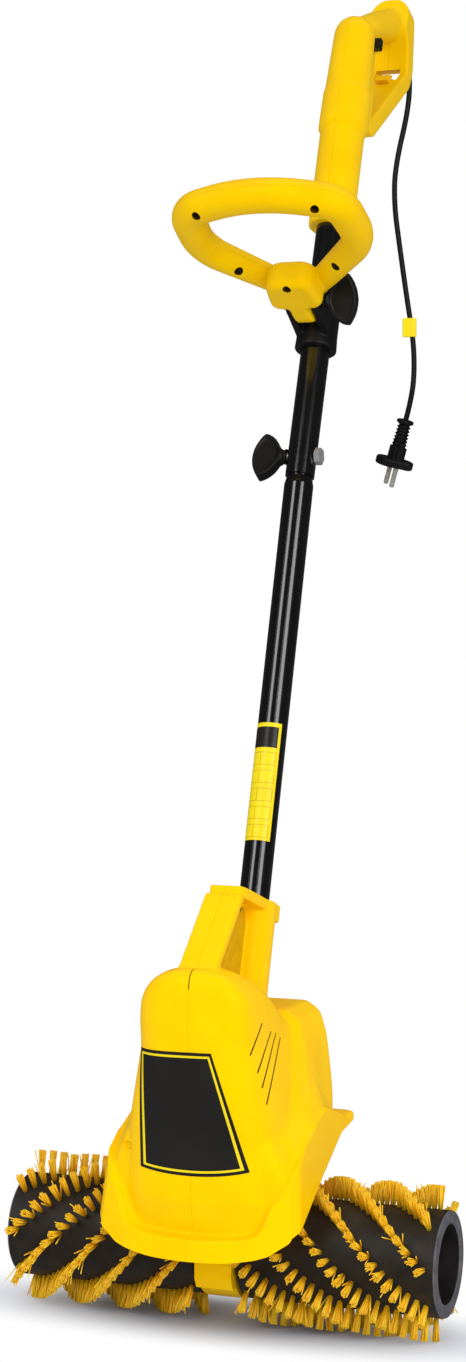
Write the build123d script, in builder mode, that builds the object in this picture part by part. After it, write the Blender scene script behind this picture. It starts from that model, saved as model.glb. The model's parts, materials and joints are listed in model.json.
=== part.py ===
from build123d import *
import os
from math import cos, degrees, pi, radians, sin, tan

# Electric turf brush: two bristle rollers under a motor head on a two-piece handle tube.
# Millimetres, +Z up, +Y to the back, +X to the right of a viewer in front.
# The origin is on the ground under the middle of the roller axle.

# Clearances
run_gap = 0.05
seat_gap = 0.03
air_gap = 0.4
head_gap = 0.2

# Rollers
axle_height = 60.0
axle_r = 6.0
core_r = 41.25
core_bore_r = 30.75
core_seat_r = 31.75
bore_start_x = 48.0
core_inner_x = 18.5
core_outer_x = 180.0
core_rim = 4.0
core_chamfer = 1.5
backing = 1.0
brush_r = 60.5
tuft_rows = 8
tufts_per_row = 24
tuft_step_deg = 7.5
tuft_root = 3.0
tuft_tip = 5.5
tuft_margin = 5.0
hub_start_x = 20.5
hub_end_x = 40.0
hub_boss_r = 14.0
web_start_x = 30.0
web_thick = 8.0
roller_bolt_r = 3.0
roller_bolt_depth = 16.0
roller_washer_r = 10.0
roller_washer = 1.6

# Worm pair
gear_module = 1.5
wheel_teeth = 30
worm_starts = 2
worm_pitch_r = 7.5
wheel_width = 12.0
tooth_backlash = 0.5
thread_share = 0.08
tip_relief = 0.4
worm_length = 28.0

# Gear case
case_half = 15.5
case_r = 42.0
tower_front = -53.0
nose_wall = 3.0
tower_back = 26.0
tower_top = 126.0
case_screw_r = 2.0
case_screw_head_r = 3.5
case_screw_head = 2.4
case_screw_tip = 3.0
mount_screw_depth = 12.0
axle_bearing_r = 14.0
axle_bearing_w = 7.0
bush_r = 6.0
bush_length = 8.0
bush_bottom = 36.0
low_bearing_r = 13.0
low_bearing_w = 8.0
low_bearing_z = 108.0

# Motor
motor_r = 37.0
stack_bottom = 148.0
stack_height = 50.0
armature_r = 21.0
armature_gap = 0.7
armature_slots = 12
slot_width = 3.0
slot_depth = 9.0
coil_slot_width = 16.0
coil_height = 56.0
shaft_low_r = 4.0
shaft_mid_r = 5.0
shaft_top = 234.0
fan_r = 30.0
fan_bottom = 134.0
fan_height = 10.0
fan_blades = 12
fan_plate = 2.0
commutator_r = 11.0
commutator_bottom = 206.0
commutator_height = 16.0
brush_width = 6.0
brush_height = 8.0
brush_length = 14.0
brush_gap = 0.3
bracket_bottom = 226.0
bracket_thick = 9.0
top_bearing_r = 11.0
top_bearing_w = 7.0

# Housing
wall = 3.0
deck_thick = 4.0
rib_thick = 3.0
rib_bite = 0.6
passage_gap = 3.0
rib_half_x = 58.0
rib_back = 12.0
hood_bottom_z = 62.0
hood_top_z = 158.0
hood_half_low = 86.0
hood_half_top = 79.0
hood_front_low = -102.5
hood_front_top = -81.5
hood_corner_low = -81.0
hood_corner_top = -62.0
hood_rear = 76.0
hood_round = 7.0
hood_corner_in = 8.0
hood_corner_back = 9.0
hood_deep = 120.0
dome_base_z = 128.0
dome_front_y = -96.0
dome_rear_y = 66.0
boss_r = 4.5
house_screw_r = 1.5
house_screw_head_r = 3.2
house_screw_head = 2.4
house_screw_start = -22.0
house_screw_end = 12.0
collar_screw_half = 7.0
vent_width = 3.0
vent_inner_x = 36.0

# Handle tubes
lower_lean = 17.6
upper_lean = 20.05
foot_y = 24.145
foot_z = 252.63
tube_r = 12.5
tube_bore_r = 11.0
lower_length = 445.0
shoulder = 7.0
neck_r = tube_bore_r - 0.1
neck_bore_r = 9.2
neck_length = 62.0
upper_length = 405.0
lead_r = 2.0
lead_off = 6.6
lead_turn = 14.0
lead_passage = 40.0
lead_drop_y = 6.145
lead_drop_z = 36.63

# Collar that holds the lower tube
collar_top = 80.0
collar_r = 19.0
collar_half = 17.0
collar_depth = 44.0
collar_cap = 14.0
collar_length = 100.0
fin_half = 10.0
fin_nose = -69.0
web_half = 4.0

# Cross bolt and wing knobs
bolt_r = 4.0
bolt_w = 19.5
bolt_head_flats = 13.0
bolt_head = 5.0
knob_hub_r = 8.0
knob_hub = 6.0
knob_reach = 33.0
knob_tip = 20.0
knob_half = 22.0
knob_waist = (17.6, 11.0)
knob_thick = 11.0
knob_turn = 12.0
knob_depth = 16.0

# Front handle and its clamp
hinge_v = -38.0
hinge_w = 147.0
loop_tilt = 7.25
loop_rise = 8.0
loop_r = 14.5
loop_bore_r = 11.5
loop_boss_wide = 44.0
loop_boss_long = 40.0
loop_boss_forward = 38.0
loop_boss_below = 28.0
loop_boss_above = 10.0
lug_r = 18.0
lug_reach = 30.0
lug_half = 8.0
clamp_low = 118.0
clamp_high = 172.0
clamp_r = 17.5
clamp_flare = 18.2
clamp_flare_rise = 12.0
clamp_slit = 2.0
arm_outer = 15.0
arm_r = 13.0
hinge_bolt_r = 3.5
serrations = 24
serration_depth = 0.8
serration_width = 1.3
aux_screw_r = 1.5
aux_head_r = 3.2
aux_head = 2.4
aux_head_z = -7.0
aux_screw_top = 8.0
aux_post_r = 4.5

# Rear handle
sleeve_overlap = 169.0
sleeve_step = 74.0
sleeve_above = 40.0
sleeve_low_r = 19.8
sleeve_high_r = 21.8
sleeve_round = 11.0
bar_above = 35.0
bar_slope = 31.0
bar_r = 15.0
bar_bore_r = 12.0
bar_length = 120.0
flare_start = 92.0
flare_r = 19.0
disc_thick = 6.0
strap_half = 17.5
strap_round = 4.5
strap_crown = 97.5
hook_slot_half = 12.0
hook_slot_front = 88.0
hook_slot_back = 125.0
hook_slot_low = 30.0
hook_slot_high = 43.5
hook_half = 5.0
grip_screw_r = 1.5
grip_head_r = 3.0
grip_head = 2.4
grip_screw_half = 10.0

# Trigger, lock button and switch
trigger_half = 6.0
trigger_pivot_s = 29.0
trigger_pivot_p = -8.0
trigger_pin_r = 1.5
trigger_pin_half = 11.3
trigger_slot = (23.5, 66.0, -24.0, -5.0)
switch_start = 48.0
switch_end = 78.0
switch_low = -2.5
switch_high = 8.0
switch_half = 8.9
button_v = 15.0
button_above = 22.0
button_len_v = 6.0
button_len_w = 10.4
button_out = 21.5
button_flange = 1.5
button_flange_in = 5.0
button_flange_thick = 2.2
button_travel = 4.0

# Cord, gland and plug
cord_r = 2.6
gland_back = 118.95
gland_up = 7.87
gland_r = 6.0
gland_flange_r = 9.0
gland_flange = 2.5
gland_depth = 22.0
boot_length = 14.0
boot_tip_r = 4.2
cord_bend = 0.45
tag_wide = 14.0
tag_thick = 8.0
tag_high = 18.5
tag_off = 1.5
tag_round = 3.5
pin_r = 2.4
pin_length = 19.0
pin_pitch = 19.0
pin_chamfer = 1.0
pin_root_r = 2.0
pin_root = 6.0
plug_flange_r = 18.5
plug_flange_wide = 30.0
plug_flange = 8.0
plug_body = 14.0
plug_body_wide = 20.0
plug_body_deep = 16.0
plug_relief = 21.0
plug_relief_r = 7.0
plug_neck_r = 5.2
plug_collar = 4.0
plug_collar_r = 8.3

# Directions and planes
axle = Plane(origin=(0, 0, axle_height), x_dir=(0, 1, 0), z_dir=(1, 0, 0))
side = Plane(origin=(0, 0, 0), x_dir=(0, 1, 0), z_dir=(1, 0, 0))
front = Plane(origin=(0, 0, 0), x_dir=(1, 0, 0), z_dir=(0, -1, 0))
lower_up = Vector(0, sin(radians(lower_lean)), cos(radians(lower_lean)))
joint = Vector(0, foot_y, foot_z) + lower_up * lower_length
upper_up = Vector(0, sin(radians(upper_lean)), cos(radians(upper_lean)))
upper_back = Vector(0, cos(radians(upper_lean)), -sin(radians(upper_lean)))
lower_plane = Plane(origin=joint, x_dir=(1, 0, 0), z_dir=lower_up)
upper_plane = Plane(origin=joint, x_dir=(1, 0, 0), z_dir=upper_up)
upper_side = Plane(origin=joint, x_dir=upper_back, z_dir=(1, 0, 0))
tube_end = joint + upper_up * upper_length
grip_plane = Plane(origin=tube_end, x_dir=(1, 0, 0), z_dir=upper_up)
grip_side = Plane(origin=tube_end, x_dir=upper_back, z_dir=(1, 0, 0))
loop_forward = upper_back * -cos(radians(loop_tilt)) + upper_up * sin(radians(loop_tilt))
loop_normal = upper_back * sin(radians(loop_tilt)) + upper_up * cos(radians(loop_tilt))
hinge = joint + upper_back * hinge_v + upper_up * hinge_w
loop_plane = Plane(origin=hinge + loop_normal * loop_rise, x_dir=(1, 0, 0), z_dir=loop_normal)
hinge_side = Plane(origin=hinge, x_dir=loop_forward * -1, z_dir=(1, 0, 0))
bar_dir = upper_back * cos(radians(bar_slope)) + upper_up * sin(radians(bar_slope))
bar_origin = tube_end + upper_up * bar_above
bar_side = Plane(origin=bar_origin, x_dir=bar_dir, z_dir=(1, 0, 0))
bar_axis = Plane(origin=bar_origin, x_dir=(1, 0, 0), z_dir=bar_dir)
gland = bar_origin + Vector(0, gland_back, gland_up)
gland_plane = Plane(origin=gland, x_dir=(1, 0, 0), z_dir=(0, 1, 0))

# Worm pair sizes that follow from the module
wheel_pitch_r = gear_module * wheel_teeth / 2
gear_centre = wheel_pitch_r + worm_pitch_r
motor_y = -gear_centre
worm_tip_r = worm_pitch_r + gear_module
worm_root_r = worm_pitch_r - gear_module - tip_relief
wheel_tip_r = wheel_pitch_r + gear_module - tip_relief / 2
wheel_root_r = wheel_pitch_r - gear_module - tip_relief
worm_lead = worm_starts * pi * gear_module
thread_pitch = pi * gear_module
flank = tan(radians(17))
thread_half = thread_pitch / 4 - tooth_backlash / 2 + thread_share
tooth_half = thread_pitch / 4 - tooth_backlash / 2 - thread_share
tooth_twist = degrees(worm_lead / (2 * pi * worm_pitch_r) / wheel_pitch_r)
motor_axis = Plane(origin=(0, motor_y, 0), x_dir=(1, 0, 0), z_dir=(0, 0, 1))
axle_line = Axis((0, 0, axle_height), (1, 0, 0))


def save(piece, name):
    piece.label = name
    export_step(piece, f"parts/{name}.step")


def disc(plane, radius, start, end, bore=0.0):
    """A cylinder or ring on the plane's axis between two heights."""
    with BuildPart() as piece:
        with BuildSketch(plane.offset(start)):
            Circle(radius)
            if bore:
                Circle(bore, mode=Mode.SUBTRACT)
        extrude(amount=end - start)
    return piece.part


def slab(plane, points, half, start=None):
    """A closed outline on a side plane, both ways by half or from start to half."""
    with BuildPart() as piece:
        with BuildSketch(plane.offset(start or 0.0)):
            with BuildLine():
                Polyline(*points, close=True)
            make_face()
        if start is None:
            extrude(amount=half, both=True)
        else:
            extrude(amount=half - start)
    return piece.part


def screw(plane, head_r, head, shank_r, length):
    """Head above the plane, shank below it."""
    with BuildPart() as piece:
        with BuildSketch(plane):
            Circle(head_r)
        extrude(amount=head)
        with BuildSketch(plane):
            Circle(shank_r)
        extrude(amount=-length)
    return piece.part


def x_screws(places, plane, start, head_r, head, shank_r, end):
    """Screws along +X whose heads face -X, at places on a side plane."""
    with BuildPart() as group:
        for place in places:
            seat = Plane(origin=plane.from_local_coords((place[0], place[1], start)),
                         x_dir=(0, 1, 0), z_dir=(-1, 0, 0))
            add(screw(seat, head_r, head, shank_r, end - start))
    return group.part


def x_holes(places, plane, start, head_r, shank_r, end, reach):
    """Clearance for those screws: counterbore out to -X by reach, shank hole to end."""
    with BuildPart() as group:
        for place in places:
            spot = Plane(origin=plane.from_local_coords((place[0], place[1], start)),
                         x_dir=(0, 1, 0), z_dir=(1, 0, 0))
            add(disc(spot, head_r, -reach, 0))
            add(disc(spot, shank_r, -0.01, end - start + 1))
    return group.part


def halves(part, plane=Plane.YZ):
    """The two sides of a part cut by a plane: positive side, negative side."""
    with BuildPart() as above:
        add(part)
        split(bisect_by=plane, keep=Keep.TOP)
    with BuildPart() as below:
        add(part)
        split(bisect_by=plane, keep=Keep.BOTTOM)
    return above.part, below.part


os.makedirs("parts", exist_ok=True)

# Rollers: cores, tufts, hubs, bolts
with BuildPart() as tuft:
    with BuildSketch(Plane.XY.offset(core_r - backing / 2)):
        Rectangle(tuft_root, tuft_root)
    with BuildSketch(Plane.XY.offset(brush_r)):
        Rectangle(tuft_tip, tuft_tip)
    loft()

brush_end_x = core_outer_x - core_rim
tuft_pitch = (brush_end_x - core_inner_x - 2 * tuft_margin) / (tufts_per_row - 1)
tuft_places = [
    Location((core_inner_x + tuft_margin + i * tuft_pitch, 0, axle_height),
             (180 + row * 360 / tuft_rows + i * tuft_step_deg, 0, 0))
    for row in range(tuft_rows) for i in range(tufts_per_row)
]
with BuildPart() as brush:
    with BuildSketch(axle.offset(core_inner_x)):
        Circle(core_r)
        Circle(core_r - backing, mode=Mode.SUBTRACT)
    extrude(amount=brush_end_x - core_inner_x)
    with Locations(*tuft_places):
        add(tuft.part)
    with Locations((brush_end_x / 2, 0, 0)):
        Box(2 * brush_end_x, brush_r, 2 * brush_r,
            align=(Align.CENTER, Align.CENTER, Align.MAX), mode=Mode.SUBTRACT)

with BuildPart() as core:
    with BuildSketch(axle.offset(core_inner_x)):
        Circle(core_r - backing - seat_gap)
    extrude(amount=brush_end_x - core_inner_x)
    with BuildSketch(axle.offset(brush_end_x)):
        Circle(core_r)
    extrude(amount=core_rim)
    chamfer(core.edges().filter_by(GeomType.CIRCLE).sort_by(Axis.X)[-1], core_chamfer)
    with BuildSketch(axle):
        Circle(core_bore_r)
    extrude(amount=core_outer_x, mode=Mode.SUBTRACT)
    with BuildSketch(axle):
        Circle(core_seat_r)
    extrude(amount=bore_start_x, mode=Mode.SUBTRACT)

with BuildPart() as hub:
    with BuildSketch(axle.offset(web_start_x)):
        Circle(core_seat_r - seat_gap)
    extrude(amount=web_thick)
    with BuildSketch(axle.offset(hub_start_x)):
        Circle(hub_boss_r)
    extrude(amount=hub_end_x - hub_start_x)
    with BuildSketch(axle):
        Circle(axle_r + seat_gap)
    extrude(amount=hub_end_x, mode=Mode.SUBTRACT)

for name, piece in (("bristles", brush), ("core", core), ("hub", hub)):
    save(piece.part, f"{name}_right")
    with BuildPart() as other:
        mirror(piece.part, about=Plane.YZ)
    save(other.part, f"{name}_left")

with BuildPart() as drive_shaft:
    add(disc(axle, axle_r, -hub_end_x, hub_end_x))
    for sign in (-1, 1):
        with BuildSketch(axle.offset(sign * hub_end_x)):
            Circle(roller_bolt_r + seat_gap)
        extrude(amount=-sign * (roller_bolt_depth + 1), mode=Mode.SUBTRACT)
save(drive_shaft.part, "drive_shaft")

with BuildPart() as roller_bolts:
    for sign in (-1, 1):
        seat = Plane(origin=(sign * hub_end_x, 0, axle_height), x_dir=(0, 1, 0), z_dir=(sign, 0, 0))
        with BuildSketch(seat):
            Circle(roller_washer_r)
        extrude(amount=roller_washer)
        with BuildSketch(seat.offset(roller_washer)):
            RegularPolygon(roller_bolt_r * 5 / 3, 6, major_radius=False)
        extrude(amount=roller_bolt_r * 4 / 3)
        with BuildSketch(seat):
            Circle(roller_bolt_r)
        extrude(amount=-roller_bolt_depth)
save(roller_bolts.part, "roller_bolts")

# Worm wheel: trapezium teeth twisted to the lead of the worm, a gap facing the worm
tooth_tip = tooth_half - flank * (wheel_tip_r - wheel_pitch_r)
tooth_root = tooth_half + flank * (wheel_pitch_r - wheel_root_r)
tooth_start = 180 + 180 / wheel_teeth
with BuildPart() as tooth:
    for end in (-1, 1):
        turn = tooth_start + end * tooth_twist * wheel_width / 2
        face = Plane(origin=(end * wheel_width / 2, 0, axle_height), z_dir=(1, 0, 0),
                     x_dir=(0, cos(radians(turn)), sin(radians(turn))))
        with BuildSketch(face):
            with BuildLine():
                Polyline((wheel_root_r - 1, -tooth_root), (wheel_root_r, -tooth_root),
                         (wheel_tip_r, -tooth_tip), (wheel_tip_r, tooth_tip),
                         (wheel_root_r, tooth_root), (wheel_root_r - 1, tooth_root), close=True)
            make_face()
    loft(ruled=True)
with BuildPart() as worm_wheel:
    add(disc(axle, wheel_root_r, -wheel_width / 2, wheel_width / 2))
    add([tooth.part.rotate(axle_line, i * 360 / wheel_teeth) for i in range(wheel_teeth)])
    with BuildSketch(axle.offset(-wheel_width)):
        Circle(axle_r + seat_gap)
    extrude(amount=2 * wheel_width, mode=Mode.SUBTRACT)
save(worm_wheel.part, "worm_wheel")

# Motor shaft with the worm cut on its lower end
worm_bottom = axle_height - worm_length / 2
thread_length = worm_length - 2 * thread_half
with BuildPart() as thread:
    with BuildLine(Plane(origin=(0, motor_y, worm_bottom + thread_half))):
        Helix(worm_lead, thread_length, worm_root_r)
    with BuildSketch(Plane(origin=(0, motor_y, worm_bottom + thread_half),
                           x_dir=(1, 0, 0), z_dir=(0, -1, 0))):
        root_half = thread_half + flank * (worm_pitch_r - worm_root_r)
        tip_half = thread_half - flank * (worm_tip_r - worm_pitch_r)
        with BuildLine():
            Polyline((worm_root_r - 0.4, -root_half), (worm_tip_r, -tip_half),
                     (worm_tip_r, tip_half), (worm_root_r - 0.4, root_half), close=True)
        make_face()
    sweep(is_frenet=True)
# At the height of the axle the crest of one thread points at the wheel
crest_turn = 90 - 360 * (thread_length / 2) / worm_lead
with BuildPart() as motor_shaft:
    add(disc(motor_axis, shaft_low_r, bush_bottom + 1, worm_bottom))
    add(disc(motor_axis, worm_root_r, worm_bottom, worm_bottom + worm_length))
    add(disc(motor_axis, shaft_mid_r, worm_bottom + worm_length, bracket_bottom - 1))
    add(disc(motor_axis, shaft_low_r, bracket_bottom - 1, shaft_top))
    motor_line = Axis((0, motor_y, 0), (0, 0, 1))
    add([thread.part.rotate(motor_line, crest_turn + i * 360 / worm_starts)
          for i in range(worm_starts)])
save(motor_shaft.part, "motor_shaft")

with BuildPart() as armature:
    with BuildSketch(motor_axis.offset(stack_bottom)):
        Circle(armature_r)
        Circle(shaft_mid_r + seat_gap, mode=Mode.SUBTRACT)
        with PolarLocations(armature_r - slot_depth / 2 + 1, armature_slots):
            Rectangle(slot_depth, slot_width, mode=Mode.SUBTRACT)
    extrude(amount=stack_height)
save(armature.part, "armature")

save(disc(motor_axis, commutator_r, commutator_bottom, commutator_bottom + commutator_height,
          shaft_mid_r + seat_gap), "commutator")

with BuildPart() as fan:
    add(disc(motor_axis, fan_r, fan_bottom, fan_bottom + fan_plate))
    add(disc(motor_axis, shaft_mid_r + 4, fan_bottom, fan_bottom + fan_height))
    with BuildSketch(motor_axis.offset(fan_bottom)):
        with PolarLocations((fan_r + shaft_mid_r) / 2 + 1, fan_blades):
            Rectangle(fan_r - shaft_mid_r - 4, fan_plate)
    extrude(amount=fan_height)
    with BuildSketch(motor_axis.offset(fan_bottom - 1)):
        Circle(shaft_mid_r + seat_gap)
    extrude(amount=fan_height + 2, mode=Mode.SUBTRACT)
save(fan.part, "cooling_fan")

# Stator with two coil slots, the coils, the top bracket, brushes and bearings
stator_bore_r = armature_r + armature_gap
with BuildPart() as stator:
    with BuildSketch(motor_axis.offset(stack_bottom)):
        Circle(motor_r)
        Circle(stator_bore_r, mode=Mode.SUBTRACT)
        for sign in (-1, 1):
            with Locations((sign * (stator_bore_r + 4), 0)):
                Rectangle(14, coil_slot_width, mode=Mode.SUBTRACT)
    extrude(amount=stack_height)
save(stator.part, "motor_stator")

coil_in = stator_bore_r + 0.6
coil_out = stator_bore_r + 11 - seat_gap
with BuildPart() as coils:
    with BuildSketch(motor_axis.offset(stack_bottom + (stack_height - coil_height) / 2)):
        for sign in (-1, 1):
            with Locations((sign * (coil_in + coil_out) / 2, 0)):
                Rectangle(coil_out - coil_in, coil_slot_width - 2 * seat_gap)
    extrude(amount=coil_height)
save(coils.part, "field_coils")

holder_in = commutator_r + 2.0
holder_out = commutator_r + brush_gap + brush_length + 2.0
brush_mid_z = commutator_bottom + commutator_height / 2
with BuildPart() as bracket:
    add(disc(motor_axis, motor_r, bracket_bottom, bracket_bottom + bracket_thick))
    for sign in (-1, 1):
        with BuildSketch(motor_axis.offset(brush_mid_z - brush_height / 2 - 2)):
            with Locations((sign * (holder_in + holder_out) / 2, 0)):
                Rectangle(holder_out - holder_in, brush_width + 5)
        extrude(amount=bracket_bottom - brush_mid_z + brush_height / 2 + 3)
        with BuildSketch(motor_axis.offset(brush_mid_z - brush_height / 2 - seat_gap)):
            with Locations((sign * (commutator_r + brush_gap + brush_length / 2), 0)):
                Rectangle(brush_length + 2 * seat_gap, brush_width + 2 * seat_gap)
        extrude(amount=brush_height + 2 * seat_gap, mode=Mode.SUBTRACT)
    with BuildSketch(motor_axis.offset(bracket_bottom)):
        Circle(top_bearing_r + seat_gap)
    extrude(amount=top_bearing_w, mode=Mode.SUBTRACT)
    with BuildSketch(motor_axis.offset(bracket_bottom)):
        Circle(shaft_mid_r + 2)
    extrude(amount=bracket_thick, mode=Mode.SUBTRACT)
save(bracket.part, "motor_bracket")

with BuildPart() as carbon_brushes:
    with BuildSketch(motor_axis.offset(brush_mid_z - brush_height / 2)):
        for sign in (-1, 1):
            with Locations((sign * (commutator_r + brush_gap + brush_length / 2), 0)):
                Rectangle(brush_length, brush_width)
    extrude(amount=brush_height)
save(carbon_brushes.part, "carbon_brushes")

save(disc(motor_axis, top_bearing_r, bracket_bottom, bracket_bottom + top_bearing_w,
          shaft_low_r + run_gap), "motor_top_bearing")
save(disc(motor_axis, low_bearing_r, low_bearing_z, low_bearing_z + low_bearing_w,
          shaft_mid_r + run_gap), "motor_low_bearing")
save(disc(motor_axis, bush_r, bush_bottom, bush_bottom + bush_length,
          shaft_low_r + run_gap), "worm_bush")

# Gear case with chambers for the wheel, the worm and the bearings
bearing_in = wheel_width / 2 + air_gap + 0.6
for name, sign in (("left", -1), ("right", 1)):
    with BuildPart() as axle_bearing:
        with BuildSketch(axle.offset(sign * bearing_in)):
            Circle(axle_bearing_r)
            Circle(axle_r + run_gap, mode=Mode.SUBTRACT)
        extrude(amount=sign * axle_bearing_w)
    save(axle_bearing.part, f"axle_bearing_{name}")

case_screw_places = [(0, -34), (33, -8), (20, 29), (18, 57), (-48, 42), (-22, -29)]
mount_screw_places = [(-9, -48), (9, -48), (-9, 8), (9, 8)]
case_screw_start = -case_half + case_screw_head
# Nose of the case round the worm and its bush
worm_room_r = worm_tip_r + 1.2
nose_front = motor_y - worm_room_r - nose_wall
nose_toe = motor_y - bush_r - nose_wall
nose_low = bush_bottom - nose_wall - axle_height
with BuildPart() as gear_case:
    with BuildSketch(axle):
        Circle(case_r)
        with BuildLine():
            Polyline((tower_front, tower_top - axle_height), (tower_front, 30), (nose_front, 8),
                     (nose_front, bush_bottom + bush_length - nose_wall - axle_height), (nose_toe, nose_low),
                     (0, nose_low), (tower_back, 20), (tower_back, tower_top - axle_height), close=True)
        make_face()
    extrude(amount=case_half, both=True)
    with BuildSketch(axle):
        Circle(wheel_tip_r + 1.5)
    extrude(amount=bearing_in, both=True, mode=Mode.SUBTRACT)
    with BuildSketch(axle):
        Circle(axle_bearing_r + seat_gap)
    extrude(amount=bearing_in + axle_bearing_w, both=True, mode=Mode.SUBTRACT)
    with BuildSketch(axle):
        Circle(axle_r + 2)
    extrude(amount=case_half + 1, both=True, mode=Mode.SUBTRACT)
    add(disc(motor_axis, bush_r + seat_gap, bush_bottom, bush_bottom + bush_length),
        mode=Mode.SUBTRACT)
    add(disc(motor_axis, worm_room_r, bush_bottom + bush_length, low_bearing_z),
        mode=Mode.SUBTRACT)
    add(disc(motor_axis, low_bearing_r + seat_gap, low_bearing_z, low_bearing_z + low_bearing_w),
        mode=Mode.SUBTRACT)
    add(disc(motor_axis, shaft_mid_r + 2, low_bearing_z + low_bearing_w, tower_top + 1),
        mode=Mode.SUBTRACT)
    add(x_holes(case_screw_places, axle, case_screw_start, case_screw_head_r + head_gap,
                case_screw_r + seat_gap, case_half - case_screw_tip, case_half), mode=Mode.SUBTRACT)
    for x, y in mount_screw_places:
        add(disc(Plane(origin=(x, y, tower_top)), case_screw_r + seat_gap, -mount_screw_depth - 1, 1),
            mode=Mode.SUBTRACT)
case_right, case_left = halves(gear_case.part)
save(case_right, "gear_case_right")
save(case_left, "gear_case_left")
save(x_screws(case_screw_places, axle, case_screw_start, case_screw_head_r, case_screw_head,
              case_screw_r, case_half - case_screw_tip), "gear_case_screws")
with BuildPart() as mount_screws:
    for x, y in mount_screw_places:
        add(screw(Plane(origin=(x, y, tower_top + deck_thick)), case_screw_head_r, case_screw_head,
                  case_screw_r, deck_thick + mount_screw_depth))
save(mount_screws.part, "gear_mount_screws")


# Housing shell
def dome_plan(inset):
    """Outline of the motor cover seen from above: bowed front, rounded corners."""
    with BuildSketch() as plan:
        with BuildLine():
            ThreePointArc((-56, -80), (0, dome_front_y), (56, -80))
            FilletPolyline((56, -80), (66, -62), (66, dome_rear_y), (-66, dome_rear_y), (-66, -62),
                           (-56, -80), radius=(20, 26, 26, 20))
        make_face()
        offset(amount=-inset)
    return plan.sketch


def dome(inset):
    """Motor cover: a front outline, a side profile and a plan, pulled in by inset."""
    base = dome_base_z + inset - wall
    with BuildPart() as body:
        with BuildSketch(front):
            with BuildLine():
                FilletPolyline((-64, base), (-64, 168), (-50.5, 229), (-46, 262), (-16, 291.5),
                               (16, 291.5), (46, 262), (50.5, 229), (64, 168), (64, base),
                               close=True, radius=(1, 30, 60, 24, 22, 22, 24, 60, 30, 1))
            make_face()
            offset(amount=-inset)
        extrude(amount=-2 * dome_front_y, both=True)
        with BuildSketch(side):
            with BuildLine():
                FilletPolyline((-86, dome_base_z - 20), (dome_front_y, 238), (-94, 291.5), (-62, 291.5),
                               (6, 247), (64, 245), (dome_rear_y, dome_base_z - 20), close=True,
                               radius=(1, 60, 17, 20, 30, 26, 1))
            make_face()
            offset(amount=-inset)
        extrude(amount=-2 * dome_front_y, both=True, mode=Mode.INTERSECT)
        with BuildSketch():
            add(dome_plan(inset))
        extrude(amount=400, mode=Mode.INTERSECT)
    return body.part


def hood_plan(half, corner_y, front_y):
    """Outline of the brush cover seen from above: bowed front, rounded corners."""
    corner_x = half - hood_corner_in
    with BuildSketch() as plan:
        with BuildLine():
            ThreePointArc((-corner_x, corner_y), (0, front_y), (corner_x, corner_y))
            FilletPolyline((corner_x, corner_y), (half, corner_y + hood_corner_back), (half, hood_rear),
                           (-half, hood_rear), (-half, corner_y + hood_corner_back), (-corner_x, corner_y),
                           radius=(7, 9, 9, 7))
        make_face()
    return plan.sketch


def hood(inset):
    """Brush cover: lofted between two plans, its lower edge rising to the back."""
    with BuildPart() as body:
        with BuildSketch(Plane.XY.offset(hood_bottom_z)):
            add(hood_plan(hood_half_low - inset, hood_corner_low + inset, hood_front_low + inset))
        with BuildSketch(Plane.XY.offset(hood_top_z - inset)):
            add(hood_plan(hood_half_top - inset, hood_corner_top + inset, hood_front_top + inset))
        loft()
        top = body.faces().sort_by(Axis.Z)[-1]
        fillet(top.edges(), max(hood_round - inset, 2))
    return body.part


vent_places = [((-65, 249), (-85, 225)), ((-52, 241), (-77, 213)), ((-37, 233), (-68, 200))]
house_screw_places = [(-40, 266), (44, 222), (52, 172), (-76, 150)]
collar_screw_places = [(-38, 300), (0, 328)]
collar_plane = lower_plane.offset(collar_top - lower_length)
hood_edge = [(-140, 62), (-100, 68.5), (-88, 72), (-79, 84), (-57, 102), (-14, 124), (37, 148), (90, 155)]
with BuildPart() as inside:
    add(dome(wall))
    add(hood(wall))

# Floor over the gear case, ribs round the motor and screw bosses, each let into the wall a little
with BuildPart() as rib_room:
    add(dome(wall - rib_bite))
    add(hood(wall - rib_bite))
shaft_passage = disc(motor_axis, shaft_mid_r + passage_gap, tower_top - 1, stack_bottom)
with BuildPart() as deck:
    add(slab(side, [(-hood_deep, tower_top), (hood_rear, tower_top), (hood_rear, tower_top + deck_thick),
                    (-hood_deep, tower_top + deck_thick)], hood_half_low))
    add(shaft_passage, mode=Mode.SUBTRACT)
    add(rib_room.part, mode=Mode.INTERSECT)

motor_rib_z = (stack_bottom + rib_thick, stack_bottom + stack_height - 2 * rib_thick,
               bracket_bottom + rib_thick)
with BuildPart() as motor_ribs:
    for z in motor_rib_z:
        add(slab(side, [(-hood_deep, z), (rib_back, z), (rib_back, z + rib_thick),
                        (-hood_deep, z + rib_thick)], rib_half_x))
    add(disc(motor_axis, motor_r + seat_gap, stack_bottom, bracket_bottom + bracket_thick + rib_thick),
        mode=Mode.SUBTRACT)
    add(rib_room.part, mode=Mode.INTERSECT)

with BuildPart() as bosses:
    for y, z in house_screw_places:
        boss_line = Plane(origin=(0, y, z), x_dir=(0, 1, 0), z_dir=(1, 0, 0))
        add(disc(boss_line, boss_r, -hood_half_top, hood_half_top))
    add(rib_room.part, mode=Mode.INTERSECT)

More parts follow.
